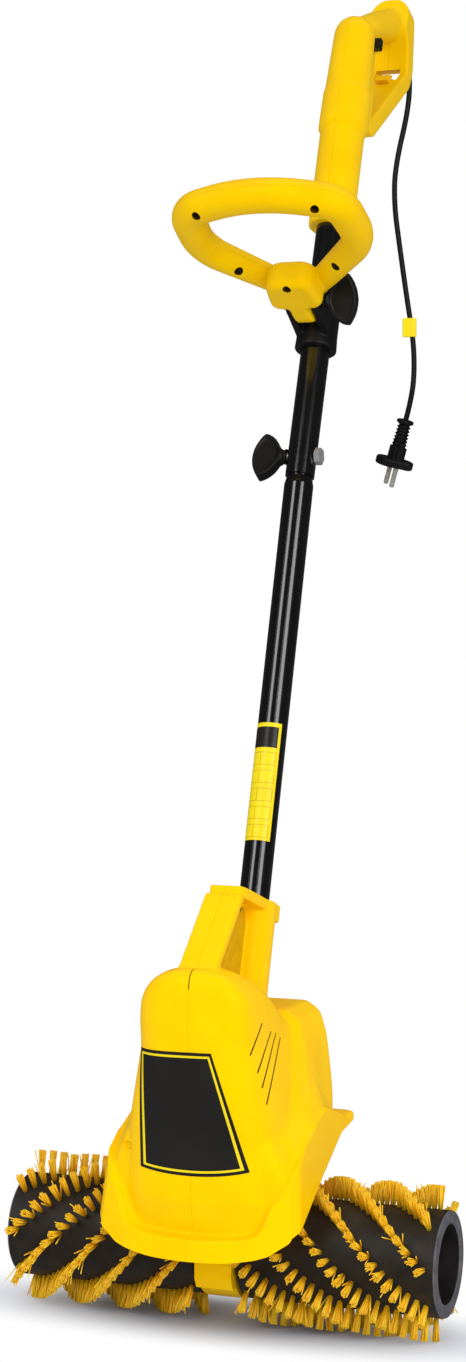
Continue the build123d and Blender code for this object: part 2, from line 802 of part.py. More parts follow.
with BuildPart() as housing:
    add(dome(0))
    add(hood(0))
    with BuildSketch(collar_plane):
        Circle(collar_r)
        Rectangle(2 * collar_half, collar_depth)
        with BuildLine():
            Polyline((-collar_half, 0), (collar_half, 0), (fin_half - 1, fin_nose + 10), (0, fin_nose),
                     (1 - fin_half, fin_nose + 10), close=True)
        make_face()
    extrude(amount=-collar_cap)
    with BuildSketch(collar_plane):
        Circle(collar_r)
    extrude(amount=-collar_length)
    add(slab(side, [(-80, 289), (-20, 343), (16, 337), (20, 325), (-13, 300), (-14, 262), (-70, 262)],
             fin_half))
    add(slab(side, [(-16, 335), (45, 320), (30, 240), (-20, 260)], web_half))
    add(inside.part, mode=Mode.SUBTRACT)
    add(slab(side, hood_edge + [(90, 40), (-140, 40)], hood_deep), mode=Mode.SUBTRACT)
    add(deck.part)
    add(motor_ribs.part)
    add(bosses.part)
    add(disc(lower_plane, tube_r + seat_gap, -lower_length - 1, 0), mode=Mode.SUBTRACT)
    add(disc(lower_plane, tube_bore_r, -lower_length - lead_passage, -lower_length), mode=Mode.SUBTRACT)
    for x, y in mount_screw_places:
        add(disc(Plane(origin=(x, y, tower_top)), case_screw_r + head_gap, -1, deck_thick + 1),
            mode=Mode.SUBTRACT)
    add(x_holes(house_screw_places, side, house_screw_start, house_screw_head_r + head_gap,
                house_screw_r + seat_gap, house_screw_end, hood_half_top), mode=Mode.SUBTRACT)
    add(x_holes(collar_screw_places, side, -collar_screw_half, house_screw_head_r + head_gap,
                house_screw_r + seat_gap, collar_screw_half, 30), mode=Mode.SUBTRACT)
    for (y1, z1), (y2, z2) in vent_places:
        for sign in (-1, 1):
            with BuildSketch(side.offset(sign * vent_inner_x)):
                SlotCenterPoint(((y1 + y2) / 2, (z1 + z2) / 2), (y2, z2), vent_width)
            extrude(amount=sign * vent_inner_x, mode=Mode.SUBTRACT)
house_right, house_left = halves(housing.part)
save(house_right, "housing_right")
save(house_left, "housing_left")
save(x_screws(house_screw_places, side, house_screw_start, house_screw_head_r, house_screw_head,
              house_screw_r, house_screw_end), "housing_screws")
save(x_screws(collar_screw_places, side, -collar_screw_half, house_screw_head_r, house_screw_head,
              house_screw_r, collar_screw_half), "collar_screws")


# Handle tubes, the lead inside them and the cross bolt
bolt_plane = Plane(origin=joint + upper_up * bolt_w, x_dir=upper_back, z_dir=(1, 0, 0))
with BuildPart() as lower_tube:
    add(disc(lower_plane, tube_r, -lower_length, -shoulder))
    with BuildSketch(lower_plane.offset(-shoulder)):
        Circle(tube_r)
    with BuildSketch(lower_plane):
        Circle(neck_r)
    loft()
    with Locations(joint):
        Sphere(neck_r)
    add(disc(upper_plane, neck_r, 0, neck_length))
    add(disc(lower_plane, tube_bore_r, -lower_length, -2 * shoulder), mode=Mode.SUBTRACT)
    add(disc(lower_plane, neck_bore_r, -2 * shoulder, 0), mode=Mode.SUBTRACT)
    with Locations(joint):
        Sphere(neck_bore_r, mode=Mode.SUBTRACT)
    add(disc(upper_plane, neck_bore_r, 0, neck_length), mode=Mode.SUBTRACT)
    add(disc(bolt_plane, bolt_r + seat_gap, -tube_r, tube_r), mode=Mode.SUBTRACT)
save(lower_tube.part, "lower_tube")

with BuildPart() as upper_tube:
    add(disc(upper_plane, tube_r, 1, upper_length, tube_bore_r))
    add(disc(bolt_plane, bolt_r + seat_gap, -tube_r, tube_r), mode=Mode.SUBTRACT)
save(upper_tube.part, "upper_tube")

with BuildPart() as inner_lead:
    with BuildLine() as lead_line:
        FilletPolyline((0, foot_y - lead_drop_y, foot_z - lead_drop_z),
                       lower_plane.from_local_coords((0, lead_off, -lower_length - lead_turn)),
                       upper_plane.from_local_coords((0, lead_off, 0)),
                       grip_plane.from_local_coords((0, lead_off, bar_above - 6)),
                       bar_side.from_local_coords((switch_start - 22, lead_r, 0)),
                       bar_side.from_local_coords((switch_start - seat_gap, lead_r, 0)),
                       radius=(20, 400, 12, 12))
    with BuildSketch(Plane(origin=lead_line.line @ 0, z_dir=lead_line.line % 0)):
        Circle(lead_r)
    sweep()
save(inner_lead.part, "inner_lead")

with BuildPart() as joint_bolt:
    with BuildSketch(bolt_plane.offset(tube_r + seat_gap)):
        RegularPolygon(bolt_head_flats / 2, 6, major_radius=False)
    extrude(amount=bolt_head)
    with BuildSketch(bolt_plane.offset(tube_r + seat_gap)):
        Circle(bolt_r)
    extrude(amount=-(2 * tube_r + air_gap + knob_depth))
save(joint_bolt.part, "joint_bolt")


def wing_knob(plane, bore):
    """Round hub with one leaf-shaped wing across it, bored for the bolt."""
    wing = Plane(origin=plane.origin, x_dir=plane.x_dir, z_dir=plane.x_dir.cross(plane.z_dir))
    foot = knob_hub - 2
    with BuildPart() as leaf:
        with BuildSketch(wing) as outline:
            with BuildLine():
                ThreePointArc((knob_hub_r, foot), knob_waist, (knob_half, knob_tip))
                ThreePointArc((knob_half, knob_tip), (0, knob_reach), (-knob_half, knob_tip))
                ThreePointArc((-knob_half, knob_tip), (-knob_waist[0], knob_waist[1]), (-knob_hub_r, foot))
                Line((-knob_hub_r, foot), (knob_hub_r, foot))
            make_face()
            fillet(outline.vertices(), 4)
        extrude(amount=knob_thick / 2, both=True)
        fillet(leaf.faces().filter_by(wing).edges(), 2)
    with BuildPart() as knob:
        add(leaf.part)
        add(disc(plane, knob_hub_r, 0, knob_hub))
        add(disc(plane, bore, 0, knob_depth + 1), mode=Mode.SUBTRACT)
    return knob.part


tilt_x = upper_back * sin(radians(knob_turn)) + upper_up * cos(radians(knob_turn))
joint_knob_seat = Plane(origin=bolt_plane.origin - Vector(tube_r + air_gap, 0, 0), x_dir=tilt_x,
                        z_dir=(-1, 0, 0))
save(wing_knob(joint_knob_seat, bolt_r + run_gap), "joint_knob")

# Clamp on the upper tube with a fork for the front handle
fork_in = lug_half + air_gap
with BuildPart() as clamp:
    add(disc(upper_plane, clamp_r, clamp_low, clamp_high))
    with BuildSketch(upper_plane.offset(clamp_low)):
        Circle(clamp_flare)
    with BuildSketch(upper_plane.offset(clamp_low + clamp_flare_rise)):
        Circle(clamp_r)
    loft()
    for sign in (-1, 1):
        with BuildSketch(upper_side.offset(sign * fork_in)):
            with BuildLine():
                Polyline((0, clamp_low + 6), (hinge_v, hinge_w - arm_r), (hinge_v, hinge_w + arm_r),
                         (0, clamp_high - 2), close=True)
            make_face()
            with Locations((hinge_v, hinge_w)):
                Circle(arm_r)
        extrude(amount=sign * (arm_outer - fork_in))
    add(disc(upper_plane, tube_r + seat_gap, clamp_low - 1, clamp_high + 1), mode=Mode.SUBTRACT)
    add(disc(hinge_side, hinge_bolt_r + seat_gap, -arm_outer - 1, arm_outer + 1), mode=Mode.SUBTRACT)
    add(slab(upper_side, [(0, clamp_low - 1), (2 * clamp_r, clamp_low - 1), (2 * clamp_r, clamp_high + 1),
                          (0, clamp_high + 1)], clamp_slit / 2), mode=Mode.SUBTRACT)
save(clamp.part, "handle_clamp")

with BuildPart() as hinge_bolt:
    with BuildSketch(hinge_side.offset(-arm_outer - seat_gap)):
        RegularPolygon(hinge_bolt_r * 1.6, 6, major_radius=False)
    extrude(amount=-bolt_head)
    with BuildSketch(hinge_side.offset(-arm_outer - seat_gap)):
        Circle(hinge_bolt_r)
    extrude(amount=2 * arm_outer + air_gap + knob_depth)
save(hinge_bolt.part, "hinge_bolt")

aux_knob_x = upper_up * cos(radians(2 * knob_turn)) - upper_back * sin(radians(2 * knob_turn))
aux_knob_seat = Plane(origin=hinge + Vector(arm_outer + air_gap, 0, 0), x_dir=aux_knob_x, z_dir=(1, 0, 0))
save(wing_knob(aux_knob_seat, hinge_bolt_r + run_gap), "aux_knob")

# Front loop handle in two halves
aux_screw_places = [(-51, -136), (51, -136), (-43, -52), (43, -52), (0, -44)]
with BuildPart() as boss:
    with BuildSketch(loop_plane.offset(-loop_boss_below)):
        with Locations((0, -loop_boss_forward)):
            RectangleRounded(loop_boss_wide, loop_boss_long, 14)
    extrude(amount=loop_boss_below + loop_boss_above)
    fillet(boss.faces().filter_by(loop_plane).edges(), 6)
with BuildPart() as front_loop:
    with BuildLine(loop_plane) as loop_line:
        FilletPolyline((-12, -28), (-72, -76), (-69, -136), (0, -147), (69, -136), (72, -76), (12, -28),
                       radius=(40, 28, 200, 28, 40))
    with BuildSketch(Plane(origin=loop_line.line @ 0, z_dir=loop_line.line % 0)):
        Circle(loop_r)
        Circle(loop_bore_r, mode=Mode.SUBTRACT)
    sweep()
    add(boss.part)
    with BuildSketch(hinge_side):
        Circle(lug_r)
        with BuildLine():
            Polyline((0, -lug_r), (0, lug_r), (-lug_reach, lug_r - 2), (-lug_reach, -lug_r), close=True)
        make_face()
    extrude(amount=lug_half, both=True)
    for x, y in aux_screw_places:
        post = Plane(origin=loop_plane.from_local_coords((x, y, 0)), z_dir=loop_normal)
        add(disc(post, aux_post_r, -loop_bore_r - 0.5, loop_bore_r + 0.5))
    add(disc(hinge_side, hinge_bolt_r + run_gap, -lug_half - 1, lug_half + 1), mode=Mode.SUBTRACT)
    for sign in (-1, 1):
        with BuildSketch(hinge_side.offset(sign * (lug_half - serration_depth))):
            with PolarLocations((lug_r + hinge_bolt_r) / 2 + 2, serrations):
                Rectangle(lug_r - hinge_bolt_r - 8, serration_width)
        extrude(amount=sign * serration_depth, mode=Mode.SUBTRACT)
    for x, y in aux_screw_places:
        spot = Plane(origin=loop_plane.from_local_coords((x, y, 0)), z_dir=loop_normal)
        add(disc(spot, aux_head_r + head_gap, -2 * loop_boss_below, aux_head_z), mode=Mode.SUBTRACT)
        add(disc(spot, aux_screw_r + seat_gap, aux_head_z, aux_screw_top + 0.5), mode=Mode.SUBTRACT)
loop_upper, loop_lower = halves(front_loop.part, loop_plane)
save(loop_upper, "aux_grip_upper")
save(loop_lower, "aux_grip_lower")
with BuildPart() as aux_screws:
    for x, y in aux_screw_places:
        add(screw(Plane(origin=loop_plane.from_local_coords((x, y, aux_head_z)), z_dir=loop_normal * -1),
                  aux_head_r, aux_head, aux_screw_r, aux_screw_top - aux_head_z))
save(aux_screws.part, "aux_screws")

# Rear handle: sleeve, bar, back wall and brace, in two halves
grip_screw_places = [(-16.2, -155), (16.2, -155), (-17.2, -20), (64.4, -10.4), (-14.5, 23), (104, 103)]
trigger_pivot = bar_side.from_local_coords((trigger_pivot_s, trigger_pivot_p, 0))
trigger_line = Plane(origin=trigger_pivot, x_dir=bar_dir, z_dir=(1, 0, 0))
with BuildPart() as sleeve:
    with BuildSketch(grip_plane.offset(-sleeve_step)):
        Circle(sleeve_high_r)
    extrude(amount=sleeve_above + sleeve_step)
    fillet(sleeve.edges().sort_by(Axis.Z)[-1], sleeve_round)
with BuildPart() as strap:
    with BuildSketch(grip_side):
        with BuildLine():
            FilletPolyline((84, 115), (101, 114), (116, 52), (111, 33), (30, -64), (6, -64), (6, -51),
                           (20, -51), (98.7, 43), (93, 67), (80, 81), close=True,
                           radius=(2, 8, 14, 14, 8, 1, 1, 4, 6, 10, 2))
        make_face()
    extrude(amount=strap_half, both=True)
    fillet(strap.faces().filter_by(Plane.YZ).edges(), strap_round)
    with BuildSketch(Plane(origin=tube_end, x_dir=(1, 0, 0), z_dir=upper_back * -1)):
        with Locations((0, strap_crown)):
            Circle(strap_half)
            Rectangle(2 * strap_half, 2 * strap_crown, align=(Align.CENTER, Align.MAX))
    extrude(amount=-2 * bar_length, mode=Mode.INTERSECT)
slot_start, slot_end, slot_low, slot_high = trigger_slot
with BuildPart() as rear_handle:
    add(disc(grip_plane, sleeve_low_r, -sleeve_overlap, -sleeve_step))
    add(sleeve.part)
    add(disc(bar_axis, bar_r, 0, flare_start))
    with BuildSketch(bar_axis.offset(flare_start)):
        Circle(bar_r)
    with BuildSketch(bar_axis.offset(bar_length - disc_thick)):
        Circle(flare_r)
    loft()
    add(disc(bar_axis, flare_r, bar_length - disc_thick, bar_length))
    add(strap.part)
    add(disc(grip_plane, tube_r + seat_gap, -upper_length, air_gap), mode=Mode.SUBTRACT)
    add(disc(grip_plane, tube_bore_r - 1, 0, bar_above - 6), mode=Mode.SUBTRACT)
    add(disc(bar_axis, bar_bore_r, 2, flare_start), mode=Mode.SUBTRACT)
    add(slab(bar_side, [(slot_start, slot_low), (slot_end, slot_low), (slot_end, slot_high),
                        (slot_start, slot_high)], trigger_half + air_gap), mode=Mode.SUBTRACT)
    add(disc(trigger_line, trigger_pin_r + seat_gap, -trigger_pin_half, trigger_pin_half),
        mode=Mode.SUBTRACT)
    with BuildSketch(grip_side):
        with Locations((button_v, button_above)):
            Rectangle(button_len_v + 2 * air_gap, button_len_w + 2 * air_gap)
    extrude(amount=2 * button_out, mode=Mode.SUBTRACT)
    with BuildSketch(grip_side.offset(button_flange_in - button_travel - air_gap)):
        with Locations((button_v, button_above)):
            Rectangle(button_len_v + 2 * button_flange + 2 * air_gap,
                      button_len_w + 2 * button_flange + 2 * air_gap)
    extrude(amount=button_travel + button_flange_thick + 2 * air_gap, mode=Mode.SUBTRACT)
    add(disc(gland_plane, gland_r + seat_gap, -gland_depth, 10), mode=Mode.SUBTRACT)
    add(disc(gland_plane, gland_flange_r + seat_gap, -seat_gap, 10), mode=Mode.SUBTRACT)
    add(disc(gland_plane, cord_r + air_gap, -2 * gland_depth, -gland_depth), mode=Mode.SUBTRACT)
    # The slot for the extension cord's loop is level, so that it rises along the leaning handle
    slot_rise = (hook_slot_back - hook_slot_front) * tan(radians(upper_lean))
    add(slab(grip_side, [(hook_slot_front, hook_slot_low), (hook_slot_back, hook_slot_low + slot_rise),
                         (hook_slot_back, hook_slot_high + slot_rise), (hook_slot_front, hook_slot_high)],
             hook_slot_half), mode=Mode.SUBTRACT)
    add(slab(grip_side, [(99, hook_slot_low), (104, hook_slot_low + 1), (104, hook_slot_low + 10),
                         (99, hook_slot_low + 8)], hook_half))
    add(x_holes(grip_screw_places, grip_side, -grip_screw_half, grip_head_r + head_gap,
                grip_screw_r + seat_gap, grip_screw_half, sleeve_high_r), mode=Mode.SUBTRACT)
grip_right, grip_left = halves(rear_handle.part)
save(grip_right, "rear_handle_right")
save(grip_left, "rear_handle_left")
save(x_screws(grip_screw_places, grip_side, -grip_screw_half, grip_head_r, grip_head, grip_screw_r,
              grip_screw_half), "rear_handle_screws")

# Trigger, its pin, the switch and the lock button
with BuildPart() as trigger:
    with BuildSketch(bar_side):
        with BuildLine():
            FilletPolyline((25, -4), (33, -4), (40, -9.5), (64, -9.5), (64, -14), (57, -20), (45, -26),
                           (34, -25), (25, -15), close=True, radius=(3, 3, 3, 1, 2, 8, 6, 4, 6))
        make_face()
    extrude(amount=trigger_half, both=True)
    add(disc(trigger_line, trigger_pin_r + run_gap, -trigger_half - 1, trigger_half + 1),
        mode=Mode.SUBTRACT)
save(trigger.part, "trigger")
save(disc(trigger_line, trigger_pin_r, -trigger_pin_half, trigger_pin_half), "trigger_pin")
save(slab(bar_side, [(switch_start, switch_low), (switch_end, switch_low), (switch_end, switch_high),
                     (switch_start, switch_high)], switch_half), "switch_block")

with BuildPart() as lock_button:
    with BuildSketch(grip_side.offset(button_flange_in)):
        with Locations((button_v, button_above)):
            Rectangle(button_len_v, button_len_w)
    extrude(amount=button_out - button_flange_in)
    fillet(lock_button.faces().sort_by(Axis.X)[-1].edges(), 1)
    with BuildSketch(grip_side.offset(button_flange_in)):
        with Locations((button_v, button_above)):
            Rectangle(button_len_v + 2 * button_flange, button_len_w + 2 * button_flange)
    extrude(amount=button_flange_thick)
save(lock_button.part, "lock_button")

# Gland with a bend relief, the mains cord, its tag and the plug
with BuildPart() as relief:
    add(disc(gland_plane, gland_r, -gland_depth, 0))
    add(disc(gland_plane, gland_flange_r, 0, gland_flange))
    with BuildSketch(gland_plane.offset(gland_flange)):
        Circle(gland_r)
    with BuildSketch(gland_plane.offset(gland_flange + boot_length)):
        Circle(boot_tip_r)
    loft()
    add(disc(gland_plane, cord_r + seat_gap, -gland_depth - 1, gland_flange + boot_length + 1),
        mode=Mode.SUBTRACT)
save(relief.part, "cord_gland")

plug_axis = Vector(-0.291, 0.074, -0.954).normalized()
plug_plane = Plane(origin=gland + Vector(-17, 50.6, -396.6), x_dir=(0.606, -0.795, 0), z_dir=plug_axis)
plug_height = plug_flange + plug_body + plug_relief + plug_collar
cord_end = plug_plane.origin - plug_axis * plug_height
# The cord leaves the gland to the back, hangs down and runs straight into the plug
cord_drops = [(0, 4, 0), (0, 28.5, 0), (0, 46.3, -18), (-0.7, 46.2, -52), (-13.3, 41.4, -110),
              (-13.7, 41.2, -146), (-9, 43.1, -184), (-1.9, 45.8, -237), (3.4, 47.8, -272),
              (4.9, 48.4, -301)]
cord_points = [gland + Vector(*drop) for drop in cord_drops] + [cord_end - plug_axis * 24, cord_end]
cord_radii = []
for before, here, after in zip(cord_points, cord_points[1:], cord_points[2:]):
    turn = (here - before).get_angle(after - here)
    shorter = min((here - before).length, (after - here).length)
    cord_radii.append(cord_bend * shorter / tan(radians(turn / 2)))
with BuildPart() as cord:
    with BuildLine() as cord_line:
        FilletPolyline(*cord_points, radius=cord_radii)
    with BuildSketch(Plane(origin=cord_line.line @ 0, z_dir=cord_line.line % 0)):
        Circle(cord_r)
    sweep()
save(cord.part, "power_cord")
print("cord radii", [round(r, 1) for r in cord_radii], "length", round(cord_line.wire().length, 1),
      "volume over section", round(cord.part.volume / (pi * cord_r ** 2), 1))

tag_plane = Plane(origin=gland + Vector(1.9, 47.2, -263.25), x_dir=(0.933, 0.359, 0),
                  z_dir=(5.3, 2.0, -35.0))
with BuildPart() as tag:
    with BuildSketch(tag_plane):
        with Locations((-tag_off, 0)):
            RectangleRounded(tag_wide, tag_thick, tag_round)
        Circle(cord_r + air_gap, mode=Mode.SUBTRACT)
    extrude(amount=tag_high / 2, both=True)
save(tag.part, "cord_tag")

with BuildPart() as plug:
    with BuildSketch(plug_plane.offset(-plug_flange)):
        Circle(plug_flange_r)
        Rectangle(plug_flange_wide, 2 * plug_flange_r, mode=Mode.INTERSECT)
    extrude(amount=plug_flange)
    with BuildSketch(plug_plane.offset(-plug_flange - plug_body)):
        RectangleRounded(plug_body_wide, plug_body_deep, 5)
    extrude(amount=plug_body)
    with BuildSketch(plug_plane.offset(-plug_flange - plug_body)):
        Circle(plug_relief_r)
    with BuildSketch(plug_plane.offset(-plug_flange - plug_body - plug_relief)):
        Circle(plug_neck_r)
    loft()
    add(disc(plug_plane, plug_collar_r, -plug_height, -plug_height + plug_collar))
    for sign in (-1, 1):
        with BuildSketch(plug_plane):
            with Locations((sign * pin_pitch / 2, 0)):
                Circle(pin_root_r + seat_gap)
        extrude(amount=-pin_root, mode=Mode.SUBTRACT)
save(plug.part, "plug_body")
with BuildPart() as pins:
    with BuildSketch(plug_plane):
        with Locations((-pin_pitch / 2, 0), (pin_pitch / 2, 0)):
            Circle(pin_r)
    extrude(amount=pin_length)
    pin_tips = pins.edges().filter_by(GeomType.CIRCLE).sort_by(Axis(plug_plane.origin, plug_axis))[-2:]
    chamfer(pin_tips, pin_chamfer)
    with BuildSketch(plug_plane):
        with Locations((-pin_pitch / 2, 0), (pin_pitch / 2, 0)):
            Circle(pin_root_r)
    extrude(amount=-pin_root)
save(pins.part, "plug_pins")
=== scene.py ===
import json
from math import acos, cos, pi, radians, sin, tan, tau

import bmesh
import bpy
from mathutils import Matrix, Vector
from mathutils.bvhtree import BVHTree


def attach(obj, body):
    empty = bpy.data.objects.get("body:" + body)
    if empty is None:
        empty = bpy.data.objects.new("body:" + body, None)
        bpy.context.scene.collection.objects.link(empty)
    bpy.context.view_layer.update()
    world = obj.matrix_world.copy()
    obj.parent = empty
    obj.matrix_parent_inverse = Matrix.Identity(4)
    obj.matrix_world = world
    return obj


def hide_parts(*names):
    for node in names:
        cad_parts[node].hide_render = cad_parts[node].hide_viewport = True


# Electric turf brush: yellow moulded motor head on two tufted rollers, black tube, two yellow handles.
# Lengths are millimetres in the frame of the part, and become metres where a mesh is made.

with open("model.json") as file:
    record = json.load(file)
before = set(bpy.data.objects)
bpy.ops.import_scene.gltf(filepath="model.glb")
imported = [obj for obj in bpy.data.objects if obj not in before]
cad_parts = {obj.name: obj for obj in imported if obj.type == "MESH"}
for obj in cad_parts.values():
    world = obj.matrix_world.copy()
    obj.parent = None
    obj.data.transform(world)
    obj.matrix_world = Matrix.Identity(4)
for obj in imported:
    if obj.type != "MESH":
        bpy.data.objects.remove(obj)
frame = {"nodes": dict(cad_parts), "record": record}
scene = bpy.context.scene
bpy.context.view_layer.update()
MM = 0.001

# Sizes shared with the solids
AXLE_Z = 60.0
CORE_R = 41.25
CORE_IN_X = 18.5
CORE_END_X = 180.0
CORE_RIM_X = 176.0
CORE_BORE_R = 30.75
CORE_SEAT_R = 31.75
CORE_SEAT_X = 48.0
TUFT_TIP_R = 59.9
TUFT_ROWS = 8
TUFTS_PER_ROW = 24
TUFT_EDGE = 5.0
TUFT_FIRST_X = CORE_IN_X + TUFT_EDGE
TUFT_PITCH = (CORE_RIM_X - CORE_IN_X - 2 * TUFT_EDGE) / (TUFTS_PER_ROW - 1)
TUFT_TURN = radians(7.5)
TUBE_R = 12.5
FIT = 0.05
FOOT = Vector((0.0, 24.145, 252.63))
LOWER_LEAN = radians(17.6)
LOWER_LENGTH = 445.0
UPPER_LEAN = radians(20.05)
UPPER_LENGTH = 405.0
LOOP_TILT = radians(7.25)
BAR_SLOPE = radians(31.0)
COLLAR_RISE = 80.0
BOLT_RISE = 19.5
HINGE_OUT = 38.0
HINGE_RISE = 147.0
LOOP_RISE = 8.0
BAR_RISE = 35.0
FORK_IN = 8.4
FORK_HALF = 15.0
KNOB_GAP = 0.4
FLANGE_R = 9.0
X_AXIS = Vector((1.0, 0.0, 0.0))
Y_AXIS = Vector((0.0, 1.0, 0.0))
Z_AXIS = Vector((0.0, 0.0, 1.0))
ORIGIN = Vector((0.0, 0.0, 0.0))

LOWER_UP, UPPER_UP = [Vector((0.0, sin(lean), cos(lean))) for lean in (LOWER_LEAN, UPPER_LEAN)]
LOWER_BACK, UPPER_BACK = [Vector((0.0, cos(lean), -sin(lean))) for lean in (LOWER_LEAN, UPPER_LEAN)]
JOINT = FOOT + LOWER_UP * LOWER_LENGTH
TUBE_END = JOINT + UPPER_UP * UPPER_LENGTH
HINGE = JOINT - UPPER_BACK * HINGE_OUT + UPPER_UP * HINGE_RISE
LOOP_BACK = UPPER_BACK * cos(LOOP_TILT) - UPPER_UP * sin(LOOP_TILT)
LOOP_NORMAL = UPPER_BACK * sin(LOOP_TILT) + UPPER_UP * cos(LOOP_TILT)
BAR_UP = UPPER_UP * cos(BAR_SLOPE) - UPPER_BACK * sin(BAR_SLOPE)
BAR_ORIGIN = TUBE_END + UPPER_UP * BAR_RISE
GLAND = BAR_ORIGIN + Vector((0.0, 118.95, 7.87))
PLUG_AXIS = Vector((-0.291, 0.074, -0.954)).normalized()
PLUG_FACE = GLAND + Vector((-17.0, 50.6, -396.6))
PLUG_HEIGHT = 47.0


def seat(origin, across, up):
    """A place for a form: its own X and Y directions, and Z square to both."""
    out = across.cross(up)
    rows = [(across[i], up[i], out[i], origin[i]) for i in range(3)]
    return Matrix(rows + [(0.0, 0.0, 0.0, 1.0)])


# Places of the forms: the whole part, then the axle, tubes, grips, loop and plug
PLAN = seat(ORIGIN, X_AXIS, Y_AXIS)
SIDE = seat(ORIGIN, Y_AXIS, Z_AXIS)
AXLE = seat(Vector((0.0, 0.0, AXLE_Z)), Y_AXIS, Z_AXIS)
LOWER = seat(JOINT, X_AXIS, LOWER_BACK)
COLLAR = seat(JOINT + LOWER_UP * (COLLAR_RISE - LOWER_LENGTH), X_AXIS, LOWER_BACK)
UPPER = seat(JOINT, X_AXIS, UPPER_BACK)
UPPER_SIDE = seat(JOINT, UPPER_BACK, UPPER_UP)
GRIP = seat(TUBE_END, X_AXIS, UPPER_BACK)
GRIP_SIDE = seat(TUBE_END, UPPER_BACK, UPPER_UP)
GRIP_FRONT = seat(TUBE_END, X_AXIS, UPPER_UP)
LOOP = seat(HINGE + LOOP_NORMAL * LOOP_RISE, X_AXIS, LOOP_BACK)
LUG_SIDE = seat(HINGE, LOOP_BACK, LOOP_NORMAL)
BAR = seat(BAR_ORIGIN, X_AXIS, -BAR_UP)
PLUG_ACROSS = Vector((0.606, -0.795, 0.0))
PLUG_ACROSS = (PLUG_ACROSS - PLUG_AXIS * PLUG_ACROSS.dot(PLUG_AXIS)).normalized()
PLUG = seat(PLUG_FACE, PLUG_ACROSS, PLUG_AXIS.cross(PLUG_ACROSS))


def added(name, data):
    """A new object in the scene."""
    made = bpy.data.objects.new(name, data)
    scene.collection.objects.link(made)
    return made


def worked_mesh(made):
    """A new mesh of what an object shows, its modifiers or curve worked in."""
    bpy.context.view_layer.update()
    return bpy.data.meshes.new_from_object(made.evaluated_get(bpy.context.evaluated_depsgraph_get()))


# Camera a little above the knee, in front and to the right
camera_data = bpy.data.cameras.new("camera")
camera_data.sensor_width = 36.0
camera_data.lens = 65.95
camera = added("camera", camera_data)
camera.location = (0.71084, -1.84587, 0.58281)
camera.rotation_euler = (radians(87.88), 0.0, radians(21.05))
scene.camera = camera

# Mains cord: out of the gland to the back, down, and straight into the plug
CORD_R = 2.6
CORD_RUN_IN = 24.0
CORD_DROPS = [(0, 4, 0), (0, 28.5, 0), (0, 46.3, -18), (-0.7, 46.2, -52), (-13.3, 41.4, -110),
              (-13.7, 41.2, -146), (-9, 43.1, -184), (-1.9, 45.8, -237), (3.4, 47.8, -272), (4.9, 48.4, -301)]
cord_end = PLUG_FACE - PLUG_AXIS * PLUG_HEIGHT
cord_points = [GLAND + Vector(drop) for drop in CORD_DROPS] + [cord_end - PLUG_AXIS * CORD_RUN_IN, cord_end]
cord_curve = bpy.data.curves.new("mains_cord", "CURVE")
cord_curve.dimensions = "3D"
cord_curve.resolution_u = 16
spline = cord_curve.splines.new("NURBS")
spline.points.add(len(cord_points) - 1)
for control, place in zip(spline.points, cord_points):
    control.co = (*(place * MM), 1.0)
spline.order_u = 3
spline.use_endpoint_u = True
cord = added("mains_cord", cord_curve)
route = worked_mesh(cord)
cord_route = [vertex.co / MM for vertex in route.vertices]
bpy.data.meshes.remove(route)
cord_curve.bevel_depth = CORD_R * MM
cord_curve.bevel_resolution = 5
cord_curve.use_fill_caps = True


# Materials
def linear(hex_colour):
    """An sRGB hex colour as linear red, green, blue and alpha."""
    channels = [int(hex_colour[i:i + 2], 16) / 255.0 for i in (1, 3, 5)]
    return [c / 12.92 if c <= 0.04045 else ((c + 0.055) / 1.055) ** 2.4 for c in channels] + [1.0]


def node(tree, kind, settings=None, links=None):
    """One node of a tree with its settings, by property or socket, and its links."""
    made = tree.nodes.new(kind)
    for key, value in (settings or {}).items():
        if isinstance(key, str) and hasattr(made, key):
            setattr(made, key, value)
        else:
            made.inputs[key].default_value = value
    for key, source in (links or {}).items():
        tree.links.new(source, made.inputs[key])
    return made


def finish_of(name, settings):
    """A new material with one Principled shader; returns it, its tree and its shader."""
    made = bpy.data.materials.new(name)
    made.use_nodes = True
    tree = made.node_tree
    shader = tree.nodes["Principled BSDF"]
    for key, value in settings.items():
        shader.inputs[key].default_value = value
    return made, tree, shader


def grained(name, pale, deep, settings, grain_mm, lift_mm, rough, cloud_mm=35.0):
    """A surface with a fine grain in relief and slow clouds of tone and gloss."""
    made, tree, shader = finish_of(name, settings)
    place = node(tree, "ShaderNodeTexCoord")
    cloud = node(tree, "ShaderNodeTexNoise", {"Scale": 1.0 / (cloud_mm * MM), "Detail": 3.0},
                 {"Vector": place.outputs["Object"]})
    tone = node(tree, "ShaderNodeValToRGB", None, {"Fac": cloud.outputs["Fac"]})
    for stop, position, colour in zip(tone.color_ramp.elements, (0.3, 0.7), (deep, pale)):
        stop.position = position
        stop.color = linear(colour)
    tree.links.new(tone.outputs["Color"], shader.inputs["Base Color"])
    grain = node(tree, "ShaderNodeTexNoise", {"Scale": 1.0 / (grain_mm * MM), "Detail": 2.0},
                 {"Vector": place.outputs["Object"]})
    gloss = node(tree, "ShaderNodeMapRange", {"To Min": rough[0], "To Max": rough[1]},
                 {"Value": grain.outputs["Fac"]})
    tree.links.new(gloss.outputs["Result"], shader.inputs["Roughness"])
    relief = node(tree, "ShaderNodeBump", {"Strength": 0.6, "Distance": lift_mm * MM},
                  {"Height": grain.outputs["Fac"]})
    tree.links.new(relief.outputs["Normal"], shader.inputs["Normal"])
    return made


